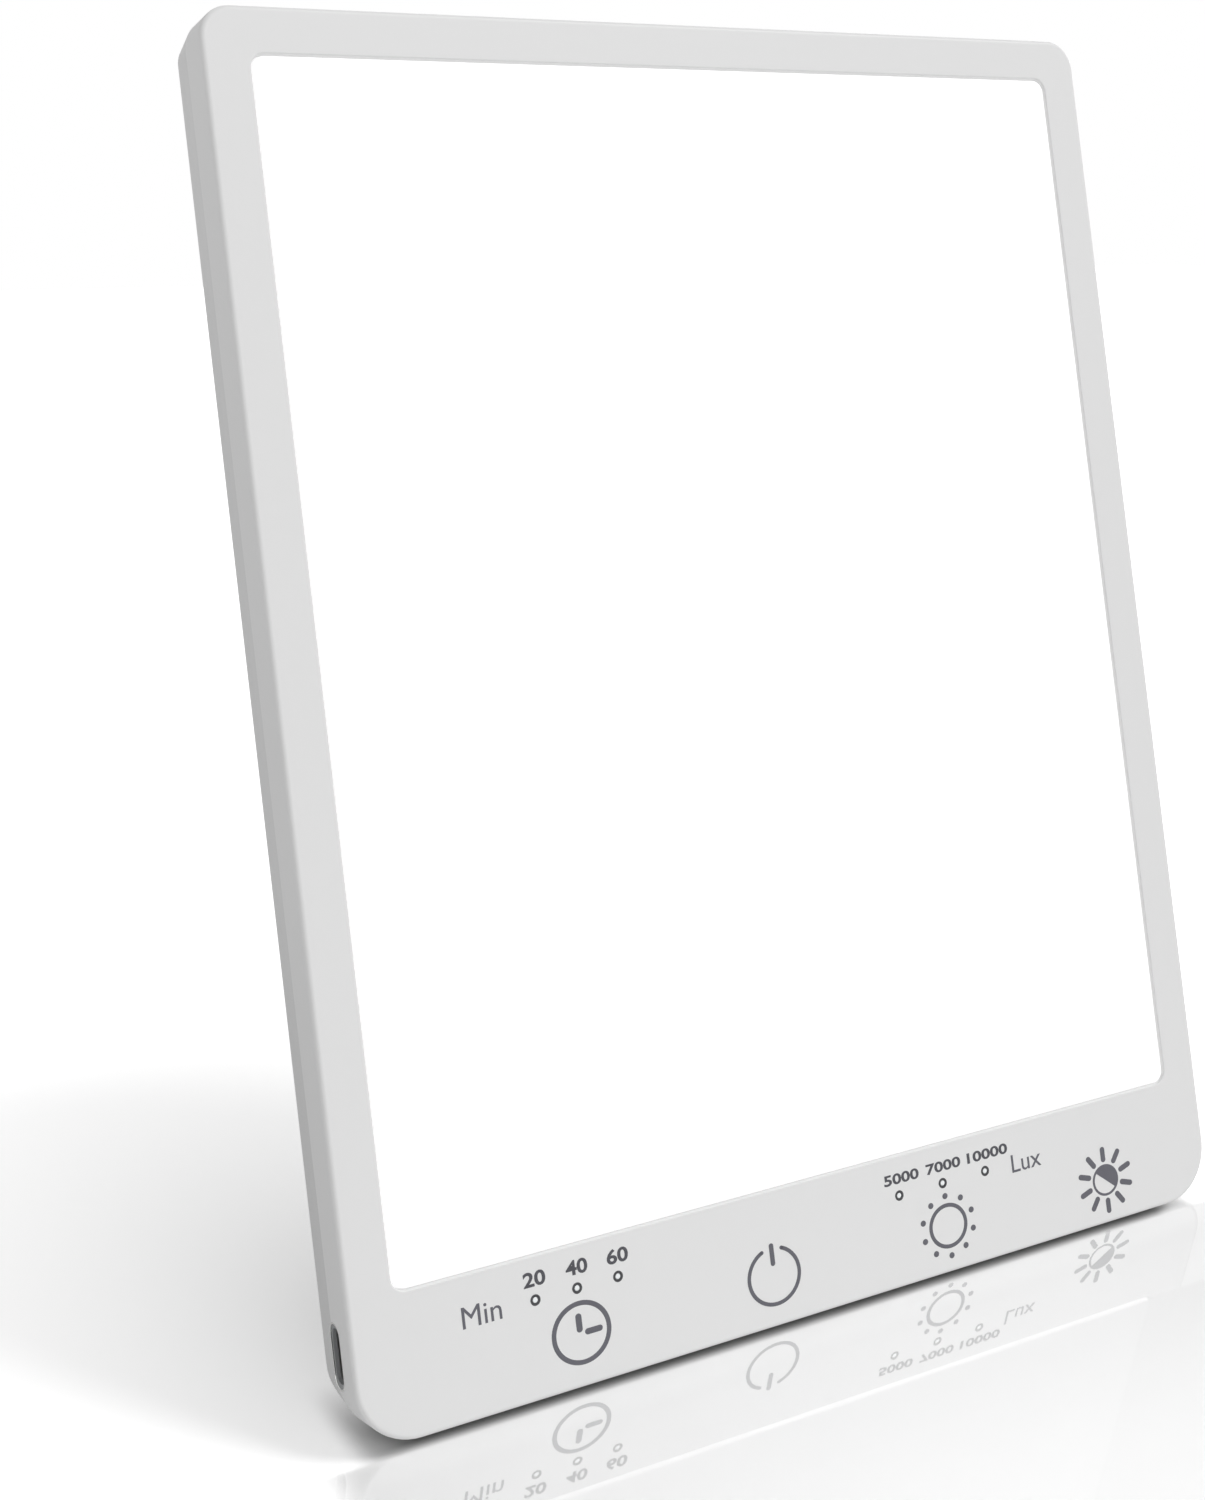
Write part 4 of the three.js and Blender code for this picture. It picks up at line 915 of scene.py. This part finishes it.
pan_screws("pan_screw", "case_screw", CASE_HEAD, CASE_THREAD / 2)
pan_screws("small_screw", "hinge_screw", HINGE_HEAD, HINGE_THREAD / 2)


# Hinge hardware: each kind modelled on the right, and its mirror image on the left

def mirrored_pair(piece, kind):
    """Dresses a right-hand piece and its mirror image."""
    left = copy_of(piece, f"{kind}_left", Vector())
    left.data.transform(Matrix.Scale(-1, 4, (1, 0, 0)))
    dress(left, "steel", [f"hinge_{kind}_left"])
    dress(piece, "steel", [f"hinge_{kind}_right"])


def bent_bracket():
    """A bent steel plate: a base with two screw holes, and a round-topped ear for the pin."""
    low, high = box_in(PANEL, "hinge_bracket_right")
    ear_outer = low.x + EAR_THICKNESS
    piece = block("bracket_right", low, (high.x, low.y + BASE_THICKNESS, high.z))
    round_edges(
        piece, BRACKET_CORNER, 6, lambda edge: runs_along(edge, Y) and middle_of(edge).x > ear_outer)
    ear = block("ear", (low.x, low.y, AXIS.z - BARREL_RADIUS), (ear_outer, AXIS.y, AXIS.z + BARREL_RADIUS))
    join(piece, ear, rod("top", BARREL_RADIUS, X, AXIS, (low.x, ear_outer)))
    bores = [rod("bore", PIN_RADIUS + GAP, X, AXIS, (low.x - OVERRUN, ear_outer + OVERRUN), sides=32)]
    for place in [centre_of(f"hinge_screw_{n}") for n in range(1, 5)]:
        if place.x > 0:
            span = (low.y - OVERRUN, high.y + OVERRUN)
            bores.append(rod("bore", HINGE_THREAD / 2 + GAP, Y, place, span, sides=24))
    pin_low, pin_high = box_in(PANEL, "hinge_pin_right")
    relief = pin_high.z - pin_low.z + 2 * GAP
    bores.append(block(
        "relief", (ear_outer, low.y - OVERRUN, AXIS.z - relief / 2),
        (pin_high.x + GAP, low.y + BASE_THICKNESS + OVERRUN, AXIS.z + relief / 2)))
    cut(piece, *bores)
    mirrored_pair(soften(piece, BRACKET_EDGE), "bracket")


def hinge_pin():
    """A turned pin with a low domed head."""
    low, high = box_in(PANEL, "hinge_pin_right")
    head_inner = high.x - PIN_HEAD
    piece = rod("pin_right", (high.z - low.z) / 2, X, AXIS, (head_inner, high.x), sides=40)
    round_edges(piece, HEAD_DOME * PIN_HEAD, 5, at(X, high.x))
    shank = rod("shank", PIN_RADIUS, X, AXIS, (low.x, head_inner + PIN_HEAD / 3), sides=32)
    round_edges(shank, BARREL_ROUND, 2, at(X, low.x))
    mirrored_pair(join(piece, shank), "pin")


def friction_washer():
    """A flat ring between the barrel and the bracket's ear."""
    low, high = box_in(PANEL, "hinge_washer_right")
    piece = rod("washer_right", (high.z - low.z) / 2, X, AXIS, (low.x, high.x), sides=40)
    cut(piece, rod("bore", PIN_RADIUS + GAP, X, AXIS, (low.x - OVERRUN, high.x + OVERRUN), sides=32))
    mirrored_pair(soften(piece, WASHER_EDGE), "washer")


bent_bracket()
hinge_pin()
friction_washer()


# Kickstand

def cut_level(piece, place):
    """Cuts a piece off level with the floor, in a leaning frame."""
    back = place.inverted()
    cut_flat(piece, back @ Vector((0, 0, 0)), back.to_3x3() @ Vector((0, 0, -1)))


def kickstand_leg():
    """A flat leg with round shoulders, whose neck carries the hinge barrel and the stop heel."""
    low, high = box_in(STAND, "kickstand")
    front, rear = high.y - STAND_THICKNESS, high.y
    bottom = box_in(STAND, "kickstand_foot")[1].z + GAP
    barrel = high.x - HINGE_SPACE
    piece = rounded_block(
        "stand_leg", (low.x, front, bottom), (high.x, rear, -SHOULDER_DROP),
        GAP, SHOULDER_RADIUS)
    round_edges(piece, LEG_ROUND, 4, at(Y, front, rear))
    neck = block("neck", (-barrel, front, -SHOULDER_DROP - SHOULDER_RADIUS), (barrel, rear, high.z))
    round_edges(neck, LEG_ROUND, 4, lambda edge: runs_along(edge, Z) or lies_at(edge, Z, high.z))
    bar = rod("barrel", BARREL_RADIUS, X, (0, 0, 0), (-barrel, barrel), sides=64)
    round_edges(bar, BARREL_ROUND, 3, at(X, barrel, -barrel))
    middle = (front + rear) / 2
    tongue = block(
        "tongue", (low.x + SHOULDER_RADIUS, middle - TONGUE_THICKNESS / 2, low.z),
        (high.x - SHOULDER_RADIUS, middle + TONGUE_THICKNESS / 2, bottom + TONGUE_THICKNESS))
    join(piece, neck, bar, tongue)
    pin_low, _ = box_in(PANEL, "hinge_pin_right")
    for side in (-1, 1):
        span = (side * (pin_low.x - GAP), side * (barrel + OVERRUN))
        cut(piece, rod("bore", PIN_RADIUS + GAP, X, (0, 0, 0), span, sides=32))
    # The darker back finish paints shade on the leg
    dress(piece, "case", ["kickstand"], STAND, "stand", finish=painted_shade_back_finish)


def stand_foot():
    """The leg's rubber foot, with grip grooves across its back and its underside level."""
    low, high = box_in(STAND, "kickstand_foot")
    piece = rounded_block("stand_foot", low - Vector((0, 0, OVERRUN)), high, SHOULDER_RADIUS / 2, GAP)
    for groove in range(1, GROOVES + 1):
        place = (0, high.y + GROOVE_RADIUS / 2, high.z - groove * GROOVE_PITCH)
        cut(piece, rod("groove", GROOVE_RADIUS, X, place, (low.x - OVERRUN, high.x + OVERRUN), sides=20))
    cut_level(piece, STAND)
    middle = (low.y + high.y) / 2
    leg_low, _ = box_in(STAND, "kickstand")
    half = TONGUE_THICKNESS / 2 + GAP
    slot = block(
        "slot", (low.x + SHOULDER_RADIUS - GAP, middle - half, leg_low.z - GAP),
        (high.x - SHOULDER_RADIUS + GAP, middle + half, high.z + OVERRUN))
    cut(piece, slot)
    dress(soften(piece, STAND_FOOT_EDGE), "rubber", ["kickstand_foot"], STAND, "stand")


def bottom_feet():
    """Two rubber feet under the lower edge, with their undersides level."""
    for side in ("left", "right"):
        low, high = box_in(PANEL, f"bottom_foot_{side}")
        piece = rounded_block(f"edge_foot_{side}", low - Vector((0, 0, OVERRUN)), high, 2 * SLIVER)
        round_edges(piece, EDGE_FOOT_CORNER, 6, lambda edge: runs_along(edge, Z))
        cut_level(piece, PANEL)
        dress(soften(piece, EDGE_FOOT_EDGE, 3), "rubber", [f"bottom_foot_{side}"])


kickstand_leg()
stand_foot()
bottom_feet()


# Charging socket

def socket_shell():
    """The folded metal shell, with a soft lip at its mouth and a closed inner end."""
    low, high = box_in(PANEL, "usb_socket_shell")
    radius = (high.y - low.y) / 2
    piece = rounded_block("socket_liner", low, high, radius * FULL_ROUND, axis=X, steps=SOCKET_STEPS)
    hollow = rounded_block(
        "hollow", low + Vector((-OVERRUN, SHELL_WALL, SHELL_WALL)),
        high - Vector((2 * SHELL_WALL, SHELL_WALL, SHELL_WALL)),
        (radius - SHELL_WALL) * FULL_ROUND, axis=X, steps=SOCKET_STEPS)
    cut(piece, hollow)
    # Its darkened finish paints the shade inside the socket
    dress(soften(piece, SHELL_EDGE), "socket_metal", ["usb_socket_shell"], finish=painted_shade_liner_finish)


def contact_tongue():
    """The tongue in the socket, and a row of contact strips on each of its faces."""
    low, high = box_in(PANEL, "usb_socket_tongue")
    piece = block("socket_tongue", low, high)
    dress(soften(piece, TONGUE_EDGE, 3), "black_resin", ["usb_socket_tongue"])
    strips = []
    pitch = (high.z - low.z) / (CONTACTS + 1)
    half = Vector((0, CONTACT_RISE, pitch / 4))
    for y in (low.y, high.y):
        for index in range(1, CONTACTS + 1):
            place = Vector((low.x + CONTACT_SETBACK, y, low.z + index * pitch))
            strips.append(block("strip", place - half, place + half + Vector((CONTACT_LENGTH, 0, 0))))
    dress(merge("socket_contacts", strips), "socket_metal")


def oval_ring(name, outer, inner, span):
    """A ring round the socket: the half sizes of its outside and its hole, and its span along x."""
    centre = centre_of("usb_socket_shell")
    rings = []
    for part, (wide, long), reach in ((name, outer, 0), ("hole", inner, OVERRUN)):
        low = Vector((span[0] - reach, centre.y - wide, centre.z - long))
        high = Vector((span[1] + reach, centre.y + wide, centre.z + long))
        rings.append(rounded_block(part, low, high, wide * FULL_ROUND, axis=X, steps=TRIM_STEPS))
    return cut(*rings)


def socket_trims():
    """A grey sleeve between the case wall and the socket, and a thin metal ring at its mouth, coloured brighter
    than the socket metal as a painted highlight.
    """
    shell_low, shell_high = box_in(PANEL, "usb_socket_shell")
    half = (shell_high - shell_low) / 2
    cutout = (SOCKET_WIDTH / 2 - GASKET_GAP, SOCKET_LENGTH / 2 - GASKET_GAP)
    side = -WIDTH / 2
    gasket = oval_ring(
        "socket_gasket", cutout, (half.y + GASKET_GAP, half.z + GASKET_GAP),
        (side + GASKET_SETBACK, shell_low.x + GASKET_DEPTH))
    dress(gasket, "rubber", finish=gasket_finish)
    trim = oval_ring(
        "socket_trim", (cutout[0] + TRIM_WIDTH, cutout[1] + TRIM_WIDTH), cutout,
        (side + TRIM_SETBACK, side + GASKET_SETBACK))
    # The ring is real metal, and its lightened colour is a painted highlight
    dress(soften(trim, TRIM_WIDTH / 4), "socket_metal", finish=trim_finish_painted_highlight)


socket_shell()
contact_tongue()
socket_trims()


# Light pipes behind the indicator holes

def light_pipe(kind, places):
    """Three clear studs with softly rounded tips, on one bar."""
    low, high = box_in(PANEL, f"light_pipe_{kind}")
    bar_front = FACE_WALL + GAP
    piece = block(f"indicator_pipe_{kind}", (low.x, bar_front, low.z), (high.x, bar_front + PIPE_BAR, high.z))
    round_edges(piece, PIPE_CORNER, 5, lambda edge: runs_along(edge, Y))
    studs = []
    for place in places:
        stud = rod("stud", STUD_RADIUS, Y, place, (low.y, high.y), sides=32)
        round_edges(stud, STUD_ROUND, 3, at(Y, low.y))
        studs.append(stud)
    join(piece, *studs)
    dress(piece, "clear_acrylic", [f"light_pipe_{kind}"])


def light_sleeves():
    """A black sleeve round each stud, with a thin lip on the face that shows as a dark ring round its hole."""
    sleeves = []
    for place in TIMER_STUDS + LUX_STUDS:
        sleeve = rod("sleeve", SLEEVE_OUTER, Y, place, (-INK / 2, SLEEVE_REAR), sides=40)
        lip = rod("lip", SLEEVE_LIP, Y, place, (-INK, INK), sides=40)
        hole = rod("hole", SLEEVE_INNER, Y, place, (-OVERRUN, SLEEVE_REAR + OVERRUN), sides=40)
        join(sleeve, lip)
        sleeves.append(cut(sleeve, hole))
    dress(merge("indicator_sleeves", sleeves), "black_resin")


light_pipe("timer", TIMER_STUDS)
light_pipe("lux", LUX_STUDS)
light_sleeves()


# Ink on the control strip. Angles run clockwise from straight up.

def on_face(x, z):
    """A place on the face, in millimetres from the middle of the lower edge."""
    return Vector((x, 0, z)) * MM


def ink_bar(centre, angle, near, far, width):
    """A straight stroke with round ends, between two distances from a centre."""
    half = width / 2
    piece = rounded_block(
        "stroke", (-half, -INK, near), (half, INK, far), half * STROKE_ROUND, steps=5)
    piece.data.transform(Matrix.Translation(centre) @ Matrix.Rotation(angle, 4, "Y"))
    return piece


def around(angle):
    """The direction at an angle on the face."""
    return Vector((math.sin(angle), 0, math.cos(angle)))


def ink_dot(centre, radius):
    """A flat round dot."""
    return rod("dot", radius, Y, centre, (-INK, INK), sides=24)


def ink_ring(centre, outer_radius, width):
    """A flattened ring."""
    piece = add(
        "ring", bpy.ops.mesh.primitive_torus_add, major_segments=64, minor_segments=12,
        major_radius=outer_radius - width / 2, minor_radius=width / 2, location=centre,
        rotation=(math.pi / 2, 0, 0))
    piece.data.transform(Matrix.Scale(2 * INK / width, 4, (0, 1, 0)))
    return piece


def ink_arc(centre, outer_radius, width, gap):
    """A ring with a gap at the top and round ends."""
    middle = outer_radius - width / 2
    piece = block("arc", (0, -INK, middle - width / 2), (SLIVER, INK, middle + width / 2))
    with editing(piece, "FACE", lambda face: not lies_at(face, X, SLIVER)):
        bpy.ops.mesh.delete(type="ONLY_FACE")
    with editing(piece, "VERT", lambda vert: vert.co.x < SLIVER / 2):
        bpy.ops.mesh.delete(type="VERT")
    piece.data.transform(Matrix.Translation((-SLIVER, 0, 0)))
    with editing(piece, "FACE"):
        bpy.ops.mesh.spin(steps=56, angle=2 * math.pi - 2 * gap, center=(0, 0, 0), axis=(0, -1, 0))
    piece.data.transform(Matrix.Translation(centre) @ Matrix.Rotation(gap, 4, "Y"))
    return [piece, *(ink_dot(centre + around(angle) * middle, width / 2) for angle in (gap, -gap))]


def ink_half_disc(centre, radius, line_angle):
    """A disc cut along a line through its centre, which keeps the side above the line."""
    piece = rod("half", radius, Y, centre, (-INK, INK))
    cut_flat(piece, centre, (-math.sin(line_angle), 0, -math.cos(line_angle)))
    return piece


def ink_words(words, low, high, weight):
    """Plain numerals or a unit, which fill a box on the face."""
    bpy.ops.object.select_all(action="DESELECT")
    bpy.ops.object.text_add()
    letters = bpy.context.object.data
    letters.body = words
    letters.offset = weight
    letters.extrude = 0.5
    letters.resolution_u = 4
    bpy.ops.object.convert(target="MESH")
    piece = bpy.context.object
    across = [v.co.x for v in piece.data.vertices]
    up = [v.co.y for v in piece.data.vertices]
    fit = Matrix.Diagonal((
        (high.x - low.x) / (max(across) - min(across)), (high.z - low.z) / (max(up) - min(up)), 2 * INK, 1))
    piece.data.transform(
        Matrix.Translation(low) @ Matrix.Rotation(math.pi / 2, 4, "X") @ fit
        @ Matrix.Translation((-min(across), -min(up), 0)))
    return piece


def print_symbol(name, pieces, centre):
    """Joins a symbol's strokes and gives it the print's slight width."""
    symbol = merge(name, pieces)
    there = Matrix.Translation(centre)
    symbol.data.transform(there @ Matrix.Diagonal(PRINT_STRETCH) @ there.inverted())
    dress(symbol, INK_SLOT)


def symbols():
    """The four touch symbols."""
    ray_angles = [2 * math.pi * index / RAYS for index in range(RAYS)]
    timer = on_face(*TIMER_PLACE)
    hands = (ink_bar(timer + on_face(*shift), *stroke) for shift, *stroke in TIMER_HANDS)
    print_symbol("timer_symbol", [ink_ring(timer, *TIMER_RING), *hands], timer)

    power = on_face(*POWER_PLACE)
    print_symbol("power_symbol", [*ink_arc(power, *POWER_ARC), ink_bar(power, 0, *POWER_STROKE)], power)

    sun = on_face(*SUN_PLACE)
    dots = [ink_dot(sun + around(angle) * SUN_DOT_REACH, SUN_DOT_RADIUS) for angle in ray_angles]
    print_symbol("brightness_symbol", [ink_ring(sun, *SUN_RING), *dots], sun)

    half_sun = on_face(*HALF_SUN_PLACE)
    rays = [ink_bar(half_sun, angle, *HALF_SUN_RAY) for angle in ray_angles]
    disc = [ink_ring(half_sun, *HALF_SUN_RING), ink_half_disc(half_sun, HALF_SUN_DISC, HALF_SUN_LINE)]
    print_symbol("colour_symbol", [*disc, *rays], half_sun)


def scales():
    """The numerals over the indicator lights, and their units in a lighter print."""
    for name, (weight, rows) in WORDS.items():
        pieces = [
            ink_words(words, on_face(left, lower), on_face(right, upper), weight)
            for words, left, lower, right, upper in rows]
        dress(merge(name, pieces), INK_SLOT, finish=numeral_finish if weight else None)


symbols()
scales()


# Floor and light

def stage_plane(name, size, middle=(0, 0, 0)):
    """A level plane that isn't part of the lamp, as its finish and its places in width and in depth."""
    plane = add(name, bpy.ops.mesh.primitive_plane_add, size=size)
    plane.data.transform(Matrix.Translation(middle))
    finish = Finish(name)
    plane.data.materials.append(finish.material)
    return finish, finish.along(X), finish.along(Y)


def floor():
    """A pale floor that keeps the lamp's shadow, whose camera-only glow paints the shade's fall-off beside the
    lamp and the light in front of it, with a painted dark contact line where the front edge almost meets it.
    """
    finish, across, depth = stage_plane("studio_floor", FLOOR_SIZE)
    ramp = finish.ramp
    ahead = cad_box[0][Y] + FRONT_EDGE_BACK - depth
    sideways = finish.math("ABSOLUTE", across)
    before_lamp = ramp(ahead, FRONT_SPAN) * ramp(sideways, FRONT_SIDE_SPAN, FADE)
    under_lamp = ramp(sideways, UNDER_SIDE_SPAN, FADE) * ramp(depth, UNDER_DEPTH_SPAN, FADE)

    # Painted shade: the camera-only glow is weakest near the lamp's left side and grows with distance, shaping the
    # soft shadow there
    aside = (across - SHADE_CENTRE[X]) * SHADE_STRETCH[X]
    beyond = (depth - SHADE_CENTRE[Y]) * SHADE_STRETCH[Y]
    spread = finish.math("SQRT", aside * aside + beyond * beyond) * (1 / SHADE_REACH)
    distance = finish.math("MAXIMUM", finish.math("MINIMUM", spread, 1.0), SHADE_CORE)
    side_glow = finish.math("POWER", distance, SHADE_CURVE) * GLOW_FAR * (1 - under_lamp)
    # Painted light in front of the lamp: the glow fills in the contact band, falls off, then rises again further
    # out
    front_glow = sum(ramp(ahead, span, levels) for span, levels in FRONT_GLOWS)
    level = side_glow + (front_glow - side_glow) * before_lamp

    seen = finish.ray("Camera")
    white = finish.node("ShaderNodeBsdfDiffuse", {"Color": (FLOOR_WHITE, FLOOR_WHITE, FLOOR_WHITE, 1)})
    glow = finish.node("ShaderNodeEmission", {"Strength": seen * level})
    pale = finish.node("ShaderNodeAddShader", {0: white, 1: glow})
    dark = finish.node("ShaderNodeBsdfDiffuse", {"Color": (0, 0, 0, 1)})
    # Painted contact shadow: black mixed into the floor, for the camera only, in a thin band under the front edge
    contact = ramp(ahead, PAINTED_CONTACT_SHADOW_SPAN, PAINTED_CONTACT_SHADOW) * ramp(sideways, CONTACT_SIDE_SPAN, FADE)
    finish.end_with(pale, dark, contact * ramp(depth, CONTACT_DEPTH_SPAN, FADE) * seen)


def gloss_film():
    """A clear film level with the lamp's front edge, which mirrors the lamp softly in front of it."""
    edge = PANEL @ Vector((0, 0, 0))
    finish, across, depth = stage_plane("gloss_film", FILM_SIZE, (0, edge.y - FILM_SIZE / 2, edge.z))
    ahead = edge.y - depth
    share = finish.ramp(ahead, MIRROR_END, MIRROR_SHARE) * finish.ramp(ahead, MIRROR_START)
    share = share * finish.ramp(finish.math("ABSOLUTE", across), FRONT_SIDE_SPAN, FADE)
    clear = finish.node("ShaderNodeBsdfTransparent", {})
    mirror = finish.node("ShaderNodeBsdfGlossy", {"Color": (1, 1, 1, 1), "Roughness": FILM_ROUGHNESS})
    finish.end_with(clear, mirror, share * finish.ray("Camera"))


def world_light():
    """Even white light all round, seen as plain white by the camera, in reflections and through glass."""
    world = bpy.data.worlds.new("studio_white")
    bpy.context.scene.world = world
    sky = Nodes(world)
    seen = sky.math("MAXIMUM", sky.ray("Camera"), sky.ray("Glossy"))
    seen = sky.math("MAXIMUM", seen, sky.ray("Transmission"))
    level = seen * (1 - WORLD_LEVEL) + WORLD_LEVEL
    background = sky.tree.nodes["Background"]
    background.inputs["Color"].default_value = (1, 1, 1, 1)
    sky.tree.links.new(level.socket, background.inputs["Strength"])


def soft_light(name, source, spread, level):
    """A far, broad lamp, which adds so much light to a surface that faces it."""
    data = bpy.data.lights.new(name, "SUN")
    data.angle = spread
    data.energy = level * math.pi
    lamp = bpy.data.objects.new(name, data)
    lamp.location = source
    lamp.rotation_euler = (-source).to_track_quat("-Z", "Y").to_euler()
    bpy.context.collection.objects.link(lamp)


floor()
gloss_film()
world_light()
soft_light("key_light", KEY_FROM, KEY_SPREAD, KEY_LEVEL)
soft_light("fill_light", FILL_FROM, FILL_SPREAD, FILL_LEVEL)
